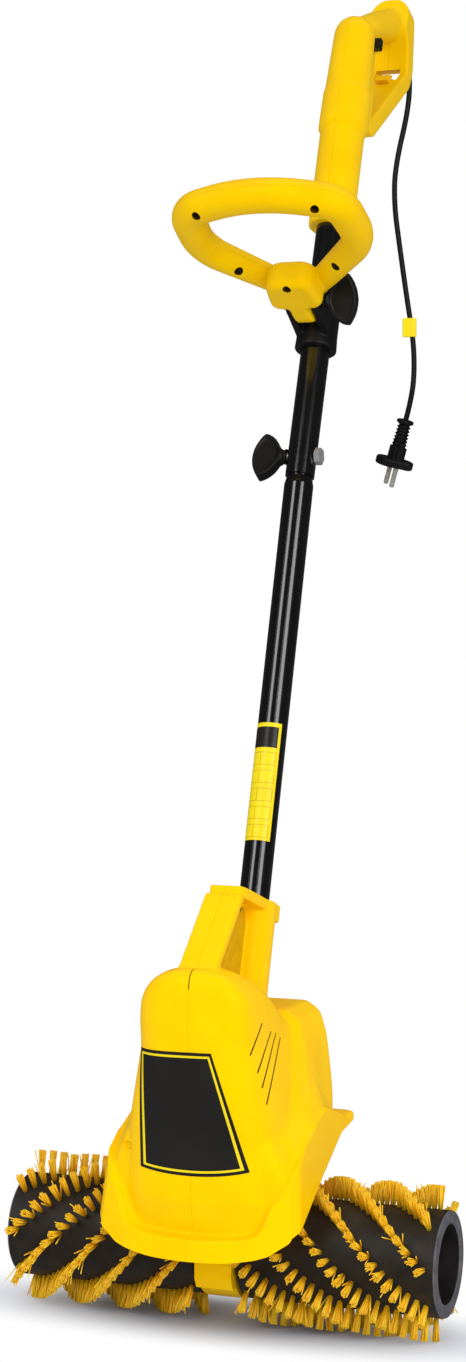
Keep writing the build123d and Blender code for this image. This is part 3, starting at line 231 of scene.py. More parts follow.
def plastic(name, pale, deep, optics, grain_mm, lift_mm, rough, cloud_mm=35.0, tint="#FFFFFF"):
    """A plastic surface: its optics are the IOR and the strength of its shine."""
    settings = {"IOR": optics[0], "Specular IOR Level": optics[1], "Specular Tint": linear(tint)}
    return grained(name, pale, deep, settings, grain_mm, lift_mm, rough, cloud_mm)


def metal(name, pale, deep, bare, grain_mm, lift_mm, rough, cloud_mm):
    """A metal surface, by the share of bare metal in what the eye sees."""
    return grained(name, pale, deep, {"Metallic": bare}, grain_mm, lift_mm, rough, cloud_mm)


# Moulded ABS with a satin skin: even bright yellow, a soft broad highlight, a trace of spark texture
housing_abs = plastic("abs_moulded_yellow", "#FFCF00", "#FFC700", (1.53, 0.2), 0.9, 0.02, (0.32, 0.44),
                      tint="#FFE04A")
# Moulded polypropylene of the grips: a little more lemon and duller than the housing
grip_pp = plastic("pp_moulded_lemon", "#EFC200", "#E9BA00", (1.49, 0.2), 0.8, 0.02, (0.36, 0.48),
                  tint="#FFE04A")
# Glass-filled nylon of the knobs and clamp: near black, matt, with a pebbled texture
knob_nylon = plastic("nylon_moulded_black", "#141415", "#0D0D0E", (1.53, 0.3), 0.7, 0.05, (0.34, 0.52))
# Baked enamel on steel tube: deep black and mirror smooth, with a slow ripple in the reflections
tube_enamel = grained("enamel_gloss_black", "#0C0C0D", "#080809",
                      {"IOR": 1.52, "Coat Weight": 0.6, "Coat Roughness": 0.06}, 3.0, 0.01, (0.14, 0.20))
# Extruded polypropylene tube: brown black, dull, with dusty scuffs along its length
core_pp = plastic("pp_extruded_black", "#2B2723", "#1D1A17", (1.49, 0.4), 1.2, 0.06, (0.42, 0.60), 14.0)
# Its sawn end: grey from the cut, with fine tool marks
core_cut = plastic("pp_sawn_grey", "#63636A", "#4C4C52", (1.49, 0.4), 0.6, 0.05, (0.5, 0.62), 9.0)
# Soft PVC of the lead, relief and plug: black with a waxy sheen
lead_pvc = plastic("pvc_moulded_black", "#121213", "#0B0B0C", (1.53, 0.2), 0.5, 0.02, (0.34, 0.46), 12.0)
# Printed vinyl film: flat, even ink under a clear gloss
vinyl_black = plastic("vinyl_printed_black", "#232220", "#1F1E1C", (1.5, 0.3), 1.5, 0.005, (0.30, 0.36))
vinyl_yellow = plastic("vinyl_printed_yellow", "#F2DA00", "#EAD000", (1.5, 0.3), 1.5, 0.005, (0.32, 0.38))
vinyl_amber = plastic("vinyl_printed_amber", "#C79A00", "#B98E00", (1.5, 0.3), 1.5, 0.005, (0.32, 0.38))
# Zinc plated steel: pale grey, slightly cloudy, with a satin shine
zinc_steel = metal("steel_zinc_plated", "#D4D6D8", "#BDBFC2", 0.7, 0.5, 0.01, (0.24, 0.38), 4.0)
# Nickel plated brass pins: bright with a warm cast
nickel = metal("brass_nickel_plated", "#E2DED2", "#D2CDC0", 0.7, 0.8, 0.005, (0.16, 0.24), 5.0)
# Stacked electrical sheet: dark grey, dull
lamination = metal("steel_electrical_sheet", "#6E6F72", "#56575A", 1.0, 0.5, 0.03, (0.4, 0.55), 6.0)
# Enamelled copper wire: brown red with a lacquer shine
copper = metal("copper_lacquered", "#B5673A", "#96502A", 1.0, 0.6, 0.06, (0.25, 0.4), 5.0)
# Cut bronze: golden brown with tool marks
bronze = metal("bronze_cut", "#B08A4A", "#94703A", 1.0, 0.5, 0.02, (0.3, 0.42), 5.0)
# Phosphated steel of the sunk screws: charcoal, dull
screw_steel = metal("steel_phosphated_black", "#2B2A28", "#1E1D1C", 0.6, 0.4, 0.02, (0.45, 0.6), 4.0)
# Pressed carbon: sooty and matt
carbon = grained("carbon_pressed", "#2A2A2C", "#1C1C1E", {"IOR": 1.5}, 0.4, 0.03, (0.5, 0.65), 4.0)
# Painted shade in the grooves and screw wells: dark brown, dead matt
painted_recess_shade = grained("painted_shade_in_recess", "#4A3608", "#332504", {"Specular IOR Level": 0.0},
                      0.8, 0.03, (0.8, 0.95), 8.0)
# Painted shade on the yellow plastic of the web behind the spine, where the recess lies in shadow: dull, a
# shade browner
painted_web_shade = grained("painted_shade_on_abs_web", "#DBA900", "#CB9C00", {"Specular IOR Level": 0.05},
                    0.8, 0.03, (0.6, 0.8), 8.0)

# Drawn polypropylene filament: golden, slightly translucent, each strand its own tone
filament_pp, filament_tree, filament_shader = finish_of(
    "pp_drawn_filament", {"IOR": 1.49, "Roughness": 0.42, "Specular IOR Level": 0.35,
                          "Subsurface Weight": 0.2, "Subsurface Scale": 0.003,
                          "Subsurface Radius": (1.0, 0.6, 0.1)})
strand_tone = node(filament_tree, "ShaderNodeAttribute", {"attribute_name": "strand_tone"})
strand_ramp = node(filament_tree, "ShaderNodeValToRGB", None, {"Fac": strand_tone.outputs["Fac"]})
strand_ramp.color_ramp.elements[0].color = linear("#FFB600")
strand_ramp.color_ramp.elements[1].color = linear("#FFD62C")
filament_tree.links.new(strand_ramp.outputs["Color"], filament_shader.inputs["Base Color"])

finishes = {
    "yellow_housing": housing_abs, "yellow_handle": grip_pp, "tag_yellow": vinyl_yellow,
    "bristle_yellow": filament_pp, "core_black": core_pp, "tube_black": tube_enamel,
    "black_plastic": knob_nylon, "rubber_black": lead_pvc, "steel": zinc_steel,
    "lamination": lamination, "copper": copper, "bronze": bronze, "carbon": carbon, "nickel": nickel,
}
for part in frame["record"]["subparts"]:
    for material_slot in frame["nodes"][part["node"]].material_slots:
        material_slot.material = finishes[part["material_slot"]]
for sunk_screws in ("housing_screws", "collar_screws"):
    for material_slot in frame["nodes"][sunk_screws].material_slots:
        material_slot.material = screw_steel


# Forms: each is a list of points in millimetres and a list of faces
def softened(corners, radii, steps=7):
    """A moulded outline: the corners with an arc of each radius."""
    outline = []
    for i, (corner, radius) in enumerate(zip(corners, radii)):
        here = Vector(corner)
        to_last = (Vector(corners[i - 1]) - here).normalized()
        to_next = (Vector(corners[(i + 1) % len(corners)]) - here).normalized()
        opening = acos(max(-1.0, min(1.0, to_last.dot(to_next))))
        if radius <= 0.0 or opening > pi - 0.01:
            outline.append(here)
            continue
        centre = here + (to_last + to_next).normalized() * (radius / sin(opening / 2))
        start = here + to_last * (radius / tan(opening / 2)) - centre
        end = here + to_next * (radius / tan(opening / 2)) - centre
        outline += [centre + start.slerp(end, k / steps).normalized() * radius for k in range(steps + 1)]
    return outline


def extruded(outline, low, high, place):
    """A closed prism: an outline in the place's X and Y, between two heights."""
    count = len(outline)
    points = [place @ Vector((x, y, z)) for z in (low, high) for x, y in outline]
    walls = [(i, (i + 1) % count, count + (i + 1) % count, count + i) for i in range(count)]
    return points, walls + [tuple(range(count))[::-1], tuple(range(count, 2 * count))]


def lofted(rings):
    """A closed skin over rings of equal count, given in the frame."""
    count = len(rings[0])
    points = [point for ring in rings for point in ring]
    faces = [tuple(range(count))[::-1], tuple(range(len(points) - count, len(points)))]
    for k in range(len(rings) - 1):
        for i in range(count):
            j = (i + 1) % count
            faces.append((k * count + i, k * count + j, (k + 1) * count + j, (k + 1) * count + i))
    return points, faces


def arc(x, y, radius, angles):
    """Points of a circle about a middle, by their angles in degrees."""
    return [(x + radius * cos(radians(a)), y + radius * sin(radians(a))) for a in angles]


def oval(centre, across, up, wide, tall, steps):
    """A ring about a centre, by two directions and its half size along each."""
    return [centre + across * (wide * cos(k * tau / steps)) + up * (tall * sin(k * tau / steps))
            for k in range(steps)]


def turned(profile, place, steps=72):
    """A closed turned form: radius and height along the place's Z, flat at both ends."""
    return lofted([[place @ p for p in oval(Z_AXIS * height, X_AXIS, Y_AXIS, radius, radius, steps)]
                   for radius, height in profile])


def ring_turned(profile, place, steps=96):
    """A closed ring: a loop of radius and height turned about the place's Z."""
    points, faces = [], []
    count = len(profile)
    for k in range(steps):
        across, up = cos(k * tau / steps), sin(k * tau / steps)
        points += [place @ Vector((radius * across, radius * up, height)) for radius, height in profile]
        for i in range(count):
            j, n = (i + 1) % count, (k + 1) % steps
            faces.append((k * count + i, k * count + j, n * count + j, n * count + i))
    return points, faces


def turned_at(profile, place, spots, steps=24):
    """The same small turned form at several spots of a place."""
    return [turned(profile, place @ Matrix.Translation((x, y, 0)), steps) for x, y in spots]


def box(low, high, place):
    """A closed block between two corners of the place."""
    (x0, y0, z0), (x1, y1, z1) = low, high
    return extruded([(x0, y0), (x1, y0), (x1, y1), (x0, y1)], z0, z1, place)


def skin(name, forms):
    """One object of several closed forms, every shell facing outwards."""
    mesh = bpy.data.meshes.new(name)
    points, faces = [], []
    for form_points, form_faces in forms:
        start = len(points)
        points += [point * MM for point in form_points]
        faces += [tuple(start + i for i in face) for face in form_faces]
    mesh.from_pydata(points, [], faces)
    work = bmesh.new()
    work.from_mesh(mesh)
    bmesh.ops.recalc_face_normals(work, faces=work.faces)
    work.to_mesh(mesh)
    work.free()
    return added(name, mesh)


def settled(made):
    """The object with its modifiers worked into its mesh."""
    old, result = made.data, worked_mesh(made)
    made.modifiers.clear()
    made.data = result
    bpy.data.meshes.remove(old)
    return made


def run_together(made, grid_mm, passes):
    """Overlapping shells as one skin on a fine grid, its edges eased by the passes."""
    grid = made.modifiers.new("grid", "REMESH")
    grid.mode = "VOXEL"
    grid.voxel_size = grid_mm * MM
    ease = made.modifiers.new("ease", "SMOOTH")
    ease.factor = 0.5
    ease.iterations = passes
    return settled(made)


def combined(made, forms, operation):
    """The object cut by, kept within or joined to some closed forms."""
    tool = skin("tool", forms)
    step = made.modifiers.new("combine", "BOOLEAN")
    step.operation = operation
    step.solver = "MANIFOLD"
    step.object = tool
    settled(made)
    tool_mesh = tool.data
    bpy.data.objects.remove(tool)
    bpy.data.meshes.remove(tool_mesh)


def form_of(made):
    """An object's mesh as a form again; the object goes."""
    mesh = made.data
    form = ([vertex.co / MM for vertex in mesh.vertices], [tuple(face.vertices) for face in mesh.polygons])
    bpy.data.objects.remove(made)
    bpy.data.meshes.remove(mesh)
    return form


CREASE = radians(38.0)


def dressed(made, body, material, nodes=()):
    """The piece on its body with its material, standing for its solids."""
    made.data.name = made.name
    made.data.materials.clear()
    made.data.materials.append(material)
    made.data.shade_smooth()
    made.data.set_sharp_from_angle(angle=CREASE)
    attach(made, body)
    if nodes:
        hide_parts(*nodes)
    return made


# Half the gap where two halves meet, a length past any moulding's end, and how deep the painted shade starts
SEAM = 0.06
FAR = 400.0
PAINTED_SHADE_DEPTH = 0.5


def parted(made, place, body, material, above, below):
    """A moulding as two halves, above and below the place's XY plane: each a name and its node."""
    halves = []
    for (name, node_name), low, high in ((above, SEAM, FAR), (below, -FAR, -SEAM)):
        half = added(name, made.data.copy())
        combined(half, [box((-FAR, -FAR, low), (FAR, FAR, high), place)], "INTERSECT")
        halves.append(dressed(half, body, material, [node_name]))
    bpy.data.objects.remove(made)
    return halves


def face_tree_of(made):
    """The piece's faces in millimetres, for finding spots on its surface."""
    return BVHTree.FromPolygons([vertex.co / MM for vertex in made.data.vertices],
                                [tuple(face.vertices) for face in made.data.polygons])


def paint_recess_shade(made, uncut):
    """Painted shade inside the grooves and wells: the faces that lie under the skin from before the cuts."""
    made.data.materials.append(painted_recess_shade)
    for face in made.data.polygons:
        corners = [made.data.vertices[i].co / MM for i in face.vertices]
        if max(uncut.find_nearest(corner)[3] for corner in corners) > PAINTED_SHADE_DEPTH:
            face.material_index = 1


def mirrored(outline):
    """A right-hand outline with its left side added, from bottom right over the top."""
    return [(x, z) for x, z in outline] + [(-x, z) for x, z in reversed(outline)]


# Motor cover: a narrow bowed front, a wider rear, a spine and a collar for the tube
# Each level of the front: height, half width, front and rear in Y
COVER_LEVELS = [(66, 66, -79, 40), (113, 66, -89, 40), (168, 63.5, -91, 40), (200, 57, -93.5, 40),
                (229, 50.5, -95.6, 33), (250, 49.3, -96, 1.5), (264, 47, -95.4, -20),
                (274, 42.5, -94.5, -35), (282, 35.5, -92.8, -47), (288, 26, -90, -56), (291.5, 13, -86, -62)]
COVER_BOW = 3.7


def cover_ring(height, half, front, rear, steps=96):
    """A level of the cover's front, seen from above: a rounded box with bowed sides."""
    middle = (front + rear) / 2
    ring = []
    for k in range(steps):
        turn = k * tau / steps
        x = abs(cos(turn)) ** (2 / COVER_BOW) * (1 if cos(turn) > 0 else -1)
        y = abs(sin(turn)) ** (2 / COVER_BOW) * (1 if sin(turn) > 0 else -1)
        ring.append(Vector((half * x, middle + (rear - front) / 2 * y, height)))
    return ring


cover_front = skin("cover_front", [lofted([cover_ring(*level) for level in COVER_LEVELS])])

# Its rear is wider, and a shoulder sweeps from there forward and down to the brush cover
# Each section: place in Y, then half width and height from the brush cover up to the cover's flank
SHOULDER = [(-86, [(64, 90), (66, 104), (64, 112), (62, 125), (59, 140), (50, 146), (40, 148)]),
            (-72, [(72, 90), (73, 125), (72, 132), (66, 148), (60, 162), (50, 166), (40, 167)]),
            (-55, [(77, 90), (77, 141), (75.5, 148), (68, 160), (59, 173), (50, 177), (40, 178)]),
            (-30, [(79, 90), (78.5, 154), (77, 161), (68, 174), (58, 187), (50, 190), (40, 191)]),
            (-8, [(79, 90), (78.5, 163), (76.5, 170), (67, 188), (56.5, 212), (50, 219), (40, 222)]),
            (12, [(79, 90), (76.5, 165), (74, 172), (65.5, 195), (57.5, 226), (52, 240), (40, 248)]),
            (40, [(79, 90), (71, 158), (68.5, 168), (63.5, 195), (58.5, 222), (52, 240), (40, 248)]),
            (70, [(79, 90), (70, 158), (67, 168), (63, 195), (58.5, 222), (52, 240), (40, 248)])]
shoulder_plan = [(44 * k / 8, -83 + 1.5 * (k / 8) ** 2) for k in range(-8, 9)]
shoulder_plan = shoulder_plan[:-1] + softened(
    [(44, -81.5), (80, -74), (80, 0), (68, 40), (68, 67), (-68, 67), (-68, 40), (-80, 0), (-80, -74)],
    [0, 24, 40, 40, 22, 22, 40, 40, 24])
cover_rear = skin("cover_rear", [lofted(
    [[Vector((x, y, z)) for x, z in mirrored(section)] for y, section in SHOULDER])])
combined(cover_rear, [extruded(shoulder_plan, 80, 300, PLAN)], "INTERSECT")
cover = run_together(skin("cover", [form_of(cover_front), form_of(cover_rear)]), 1.8, 7)

# The brush cover's outline at its foot and top: half width, corner, front and rear in Y, height
HOOD_FOOT = (86.0, -86.5, -102.5, 76.0, 62.0)
HOOD_TOP = (79.0, -70.0, -81.5, 76.0, 158.0)
HOOD_LEVELS = 8
HOOD_BOW_STEPS = 16
# How far the corner reaches in X and in Y, and where the side has points in Y
HOOD_CORNER = (6.0, 9.0)
HOOD_SIDE_Y = (-45, -20, 5, 30, 50)


def hood_ring(half, corner_y, front_y, rear_y, height):
    """The brush cover's outline at one height: bowed front, rounded corners."""
    corner_x = half - HOOD_CORNER[0]
    shares = [k / HOOD_BOW_STEPS for k in range(-HOOD_BOW_STEPS, HOOD_BOW_STEPS + 1)]
    bow = [(corner_x * share, front_y + (corner_y - front_y) * share ** 2) for share in shares]
    right = softened([(0, rear_y), (corner_x, corner_y), (half, corner_y + HOOD_CORNER[1]),
                      (half, rear_y), (0, rear_y + 1)], [0, 0, 7, 9, 0])[1:-1]
    front_corner, rear_corner = right[:-8], right[-8:]
    right = front_corner + [Vector((half, y)) for y in HOOD_SIDE_Y] + rear_corner
    left = [Vector((-p.x, p.y)) for p in reversed(right[1:])]
    return [Vector((x, y, height)) for x, y in bow[:-1] + right + left]


def hood_form(out, top):
    """The brush cover as a closed block up to a height, grown by some millimetres."""
    foot_z, top_z = HOOD_FOOT[-1], HOOD_TOP[-1]
    rings = []
    for k in range(HOOD_LEVELS + 1):
        height = foot_z + (top - foot_z) * k / HOOD_LEVELS
        share = (height - foot_z) / (top_z - foot_z)
        half, corner, front, rear = [a + (b - a) * share for a, b in zip(HOOD_FOOT[:4], HOOD_TOP[:4])]
        rings.append(hood_ring(half + out, corner - out, front - out, rear + out, height))
    return lofted(rings)


def along_line(line, y):
    """The height of a line of Y and Z points at one Y."""
    for (y0, z0), (y1, z1) in zip(line, line[1:]):
        if y <= y1:
            return z0 + (z1 - z0) * (y - y0) / (y1 - y0)
    return line[-1][1]


# Its lower edge and its crest, as lines of Y and Z
HOOD_EDGE = [(-140, 62), (-104, 69), (-98, 71), (-93, 74), (-89.5, 77), (-86, 82), (-80, 90), (-57, 102),
             (-14, 124), (37, 148), (100, 156)]
HOOD_CREST = [(-102.5, 86), (-98, 88), (-96, 89.5), (-94.4, 92), (-93, 100), (-92, 110), (-90, 119),
              (-86.5, 131), (-77.5, 145), (-45, 156), (-20, 167), (5, 174), (30, 166), (50, 158), (100, 158)]
below_edge = [(-140, 30), (100, 30)] + HOOD_EDGE[::-1]
# The wall ends in a crest that rises to the sides, and turns in there to the motor cover
hood_low = hood_ring(*HOOD_FOOT)
crest = []
for low, high in zip(hood_low, hood_ring(*HOOD_TOP)):
    share = (along_line(HOOD_CREST, low.y) - low.z) / (high.z - low.z)
    crest.append(low.lerp(high, share))
CREST_IN = 0.72
inner_crest = [Vector((CREST_IN * p.x, -2 + CREST_IN * (p.y + 2), p.z + 2)) for p in crest]
# A small patch in the middle closes it
hood_heart = [Vector((0.05 * p.x, 0.05 * p.y, 130)) for p in crest]
hood = skin("hood", [lofted([hood_low, crest, inner_crest, hood_heart])])

# Collar round the tube, a spine from it to the cover's front, and a thin web between
collar_outline = [(-17, -2), (17, -2), (17, 22), (-17, 22)]
spine_top = [(-17, 4), (-15.5, -58), (-13, -66), (13, -66), (15.5, -58), (17, 4)]
spine_side = [(-80, 289), (-20, 343), (-13, 338), (-74, 283), (-66, 258), (-78, 258)]
SPINE_HALF = 15.5
web_side = [(-76, 280), (-18, 343), (20, 332), (36, 250), (-70, 250)]
WEB_HALF = 2.5
collar_forms = [
    extruded(spine_side, -SPINE_HALF, SPINE_HALF, SIDE),
    extruded(softened(collar_outline, [3, 3, 5, 5]), -14, 0, COLLAR),
    extruded(spine_top, -9, 0, COLLAR),
    turned([(20, -100), (20.4, -98), (20.4, -94), (19, -92), (19, 0)], COLLAR),
    extruded(web_side, -WEB_HALF, WEB_HALF, SIDE),
]
housing = skin("housing", [form_of(cover), form_of(hood)] + collar_forms)
run_together(housing, 1.2, 5)
# The brush cover is open below, with a thin wall at its edge, which rises to the back
for wall, roof_z in ((3.2, 78.0), (24.0, 126.0)):
    combined(housing, [hood_form(-wall, roof_z)], "DIFFERENCE")
combined(housing, [extruded(below_edge, -130, 130, SIDE)], "DIFFERENCE")
combined(housing, [box((-130, 67.5, 30), (130, 110, 153), PLAN)], "DIFFERENCE")
# Under its rear a foot carries the gear case
gear_foot = softened([(-30, 125.8), (30, 125.8), (42, 156), (-30, 140)], [2, 4, 0, 0])
combined(housing, [extruded(gear_foot, -23, 23, SIDE)], "UNION")

# The two halves part in a short open notch at the top of the front
top_notch = [(-96, 277), (-93, 285.5), (-88, 293), (-80, 294), (-80, 289.3), (-86, 289.3), (-89, 285.5),
             (-92, 278)]
# Vents: narrow grooves on both flanks, straight when looked at from the front corner
VENTS = [((49, -64, 250), (47, -84.5, 227.7)), ((50, -47, 241), (52, -82, 213.5)),
         ((50, -36, 238), (55, -80, 202)), ((50, -26, 233), (57.5, -77, 189))]
VENT_LOOK = Vector((-0.36, 0.93, 0.0)).normalized()
VENT_WIDTH = 1.5
VENT_DEPTH = 4.0
VENT_STEPS = 12
VENT_AWAY = 100.0


def groove(tree, start, end, sign):
    """A closed ribbon that cuts a groove on one flank."""
    mirror = Matrix.Diagonal((float(sign), 1.0, 1.0))
    spots = []
    for k in range(VENT_STEPS + 1):
        aim = Vector(start).lerp(Vector(end), k / VENT_STEPS)
        spots.append(tree.ray_cast(aim - VENT_LOOK * VENT_AWAY, VENT_LOOK)[:2])
    rings = []
    for k, (spot, out) in enumerate(spots):
        along = (spots[min(k + 1, VENT_STEPS)][0] - spots[max(k - 1, 0)][0]).normalized()
        aside = out.cross(along).normalized() * (VENT_WIDTH / 2)
        high, low = spot + out, spot - out * VENT_DEPTH
        rings.append([mirror @ p for p in (high + aside, high - aside, low - aside, low + aside)])
    return lofted(rings)


# Wells of the screws that hold the halves, as Y and Z, all from the left
HOUSE_SCREWS = [(-40, 266), (44, 222), (52, 172), (-76, 150)]
COLLAR_SCREWS = [(-38, 300), (0, 328)]
WELL_R = 3.4
screw_wells = turned_at([(WELL_R, -90), (WELL_R, -22)], SIDE, HOUSE_SCREWS)
screw_wells += turned_at([(WELL_R, -30), (WELL_R, -7)], SIDE, COLLAR_SCREWS)
combined(housing, screw_wells, "DIFFERENCE")
housing_uncut = face_tree_of(housing)
combined(housing, [groove(housing_uncut, *ends, sign) for ends in VENTS for sign in (-1, 1)], "DIFFERENCE")
combined(housing, [extruded(top_notch, -0.4, 0.4, SIDE)], "DIFFERENCE")
housing_faces = face_tree_of(housing)
housing_shells = parted(housing, SIDE, "head", housing_abs,
                        ("housing_shell_right", "housing_right"), ("housing_shell_left", "housing_left"))

# Painted shade in the wells and grooves, and a lighter painted shade on the web, in the recess between spine
# and collar
RECESS_Y, RECESS_Z = (-72.0, 40.0), (262.0, 338.0)
WEB_NEAR = 0.4
FACES_SIDEWAYS = 0.95
for shell in housing_shells:
    paint_recess_shade(shell, housing_uncut)
    shell.data.materials.append(painted_web_shade)
    for face in shell.data.polygons:
        x, y, z = face.center / MM
        on_web = abs(abs(x) - WEB_HALF) < WEB_NEAR and abs(face.normal.x) > FACES_SIDEWAYS
        if on_web and RECESS_Y[0] < y < RECESS_Y[1] and RECESS_Z[0] < z < RECESS_Z[1]:
            face.material_index = 2


FILM_UNDER = 0.2


def film(name, patches, spot, material, lift, under):
    """Thin closed film: patches of two ranges and their counts, each point found by spot at a lift."""
    points, faces = [], []
    for (a0, a1), (d0, d1), wide, tall in patches:
        start = len(points)
        for height in (lift, -under):
            for j in range(tall + 1):
                for i in range(wide + 1):
                    points.append(spot(a0 + (a1 - a0) * i / wide, d0 + (d1 - d0) * j / tall, height))
        layer = (wide + 1) * (tall + 1)
        for j in range(tall):
            for i in range(wide):
                k = start + j * (wide + 1) + i
                quad = (k, k + 1, k + wide + 2, k + wide + 1)
                faces += [quad, tuple(q + layer for q in reversed(quad))]
        edge = [start + i for i in range(wide + 1)]
        edge += [start + j * (wide + 1) + wide for j in range(1, tall + 1)]
        edge += [start + tall * (wide + 1) + i for i in range(wide - 1, -1, -1)]
        edge += [start + j * (wide + 1) for j in range(tall - 1, 0, -1)]
        for k, here in enumerate(edge):
            after = edge[(k + 1) % len(edge)]
            faces.append((here, here + layer, after + layer, after))
    dressed(skin(name, [(points, faces)]), "head", material)


# Front panel: black film with a yellow line, bare inside; its corners in X and Z
PANEL = [(-44.0, 229.0), (19.0, 230.0), (46.5, 139.0), (-43.0, 137.0)]
PANEL_SAG = 4.5
PANEL_AWAY_Y = -200.0


def panel_point(across, down, lift):
    """A point of the front panel, by its share across and down, raised off the cover."""
    top = Vector(PANEL[0]).lerp(Vector(PANEL[1]), across)
    low = Vector(PANEL[3]).lerp(Vector(PANEL[2]), across)
    spot = top.lerp(low, down)
    spot.y -= PANEL_SAG * down * (1.0 - (2.0 * across - 1.0) ** 2)
    hit = housing_faces.ray_cast(Vector((spot.x, PANEL_AWAY_Y, spot.y)), Y_AXIS)[0]
    return Vector((spot.x, hit.y - lift, spot.y))


film("front_panel", [((0, 1), (0, 1), 40, 44)], panel_point, vinyl_black, 0.25, 0.35)
# The yellow line's edges, as shares of the panel
LINE_IN, LINE_OUT = 0.033, 0.060
LINE_TOP, LINE_LOW = LINE_IN * 0.8, LINE_OUT * 0.75
film("front_panel_line", [
    ((LINE_IN, 1 - LINE_IN), (LINE_TOP, LINE_LOW), 36, 2),
    ((LINE_IN, 1 - LINE_IN), (1 - LINE_LOW, 1 - LINE_TOP), 36, 2),
    ((LINE_IN, LINE_OUT), (LINE_LOW, 1 - LINE_LOW), 2, 40),
    ((1 - LINE_OUT, 1 - LINE_IN), (LINE_LOW, 1 - LINE_LOW), 2, 40),
], panel_point, vinyl_yellow, 0.32, FILM_UNDER)


# Rollers: tube, sawn ends and rows of tufts
def roller_tube(name, sign, nodes):
    """The black tube of one roller, its outer end ring grey from the cut."""
    place = AXLE @ Matrix.Diagonal((1.0, 1.0, float(sign), 1.0))
    profile = [(CORE_BORE_R, CORE_END_X - 1.0), (CORE_SEAT_R, CORE_END_X), (CORE_R - 1.5, CORE_END_X),
               (CORE_R - 0.4, CORE_END_X - 0.4), (CORE_R, CORE_END_X - 1.5), (CORE_R, CORE_RIM_X + 1.0),
               (CORE_R, CORE_IN_X), (CORE_SEAT_R, CORE_IN_X), (CORE_SEAT_R, CORE_SEAT_X),
               (CORE_BORE_R, CORE_SEAT_X)]
    made = dressed(skin(name, [ring_turned(profile, place)]), "rollers", core_pp, nodes)
    made.data.materials.append(core_cut)
    for face in made.data.polygons:
        if abs(face.center.x) > (CORE_RIM_X + 2.0) * MM:
            face.material_index = 1


roller_tube("roller_tube_right", 1, ["core_right"])
roller_tube("roller_tube_left", -1, ["core_left"])

# Tufts: the sizes that their tree is given, by the kind of socket
TUFT_INPUTS = {
    "Int": ("Rows", "Tufts per row", "Strands per tuft", "Seed"),
    "Float": ("First tuft", "Pitch", "Turn per tuft", "Axle height", "Root radius", "Tip radius",
              "Root spread", "Tip spread", "Strand radius"),
    "Material": ("Strand",),
}
# What chance gives each strand: lowest, highest and the number added to the seed; tip loss in metres
STRAND_DRAWS = {
    "place in tuft": (0.0, 1.0, 1), "heading": (0.0, tau, 2), "stray draw": (0.0, 1.0, 3),
    "tip draw": (0.85, 1.1, 4), "tip loss": (0.0, 0.0012, 5), "tone": (0.0, 1.0, 6),
}
# A strand whose draw is past the first strays from its tuft, and reaches further by the second
STRAY_FROM = 0.965
STRAY_MORE = 1.6
# How a strand is placed from its number, line by line: a value, its operation and what goes in
STRAND_RULE = [
    ("all tufts", "MULTIPLY", "Rows", "Tufts per row"),
    ("all strands", "MULTIPLY", "all tufts", "Strands per tuft"),
    ("tufts passed", "DIVIDE", "index", "Strands per tuft"),
    ("tuft", "FLOOR", "tufts passed"),
    ("rows passed", "DIVIDE", "tuft", "Tufts per row"),
    ("row", "FLOOR", "rows passed"),
    ("row start", "MULTIPLY", "row", "Tufts per row"),
    ("step", "SUBTRACT", "tuft", "row start"),
    ("row share", "DIVIDE", "row", "Rows"),
    ("row turn", "MULTIPLY", "row share", tau),
    ("step turn", "MULTIPLY_ADD", "step", "Turn per tuft", "row turn"),
    ("turn", "ADD", "step turn", pi),
    ("along", "MULTIPLY_ADD", "step", "Pitch", "First tuft"),
    ("spread", "SQRT", "place in tuft"),
    ("cosine", "COSINE", "heading"),
    ("sine", "SINE", "heading"),
    ("side x", "MULTIPLY", "spread", "cosine"),
    ("side y", "MULTIPLY", "spread", "sine"),
    ("strays", "GREATER_THAN", "stray draw", STRAY_FROM),
    ("stray", "MULTIPLY_ADD", "strays", STRAY_MORE, 1.0),
    ("tip reach", "MULTIPLY", "Tip spread", "stray"),
    ("tip aside", "MULTIPLY", "tip reach", "tip draw"),
    ("tip height", "SUBTRACT", "Tip radius", "tip loss"),
    ("root x", "MULTIPLY", "side x", "Root spread"),
    ("root y", "MULTIPLY", "side y", "Root spread"),
    ("tip x", "MULTIPLY", "side x", "tip aside"),
    ("tip y", "MULTIPLY", "side y", "tip aside"),
]


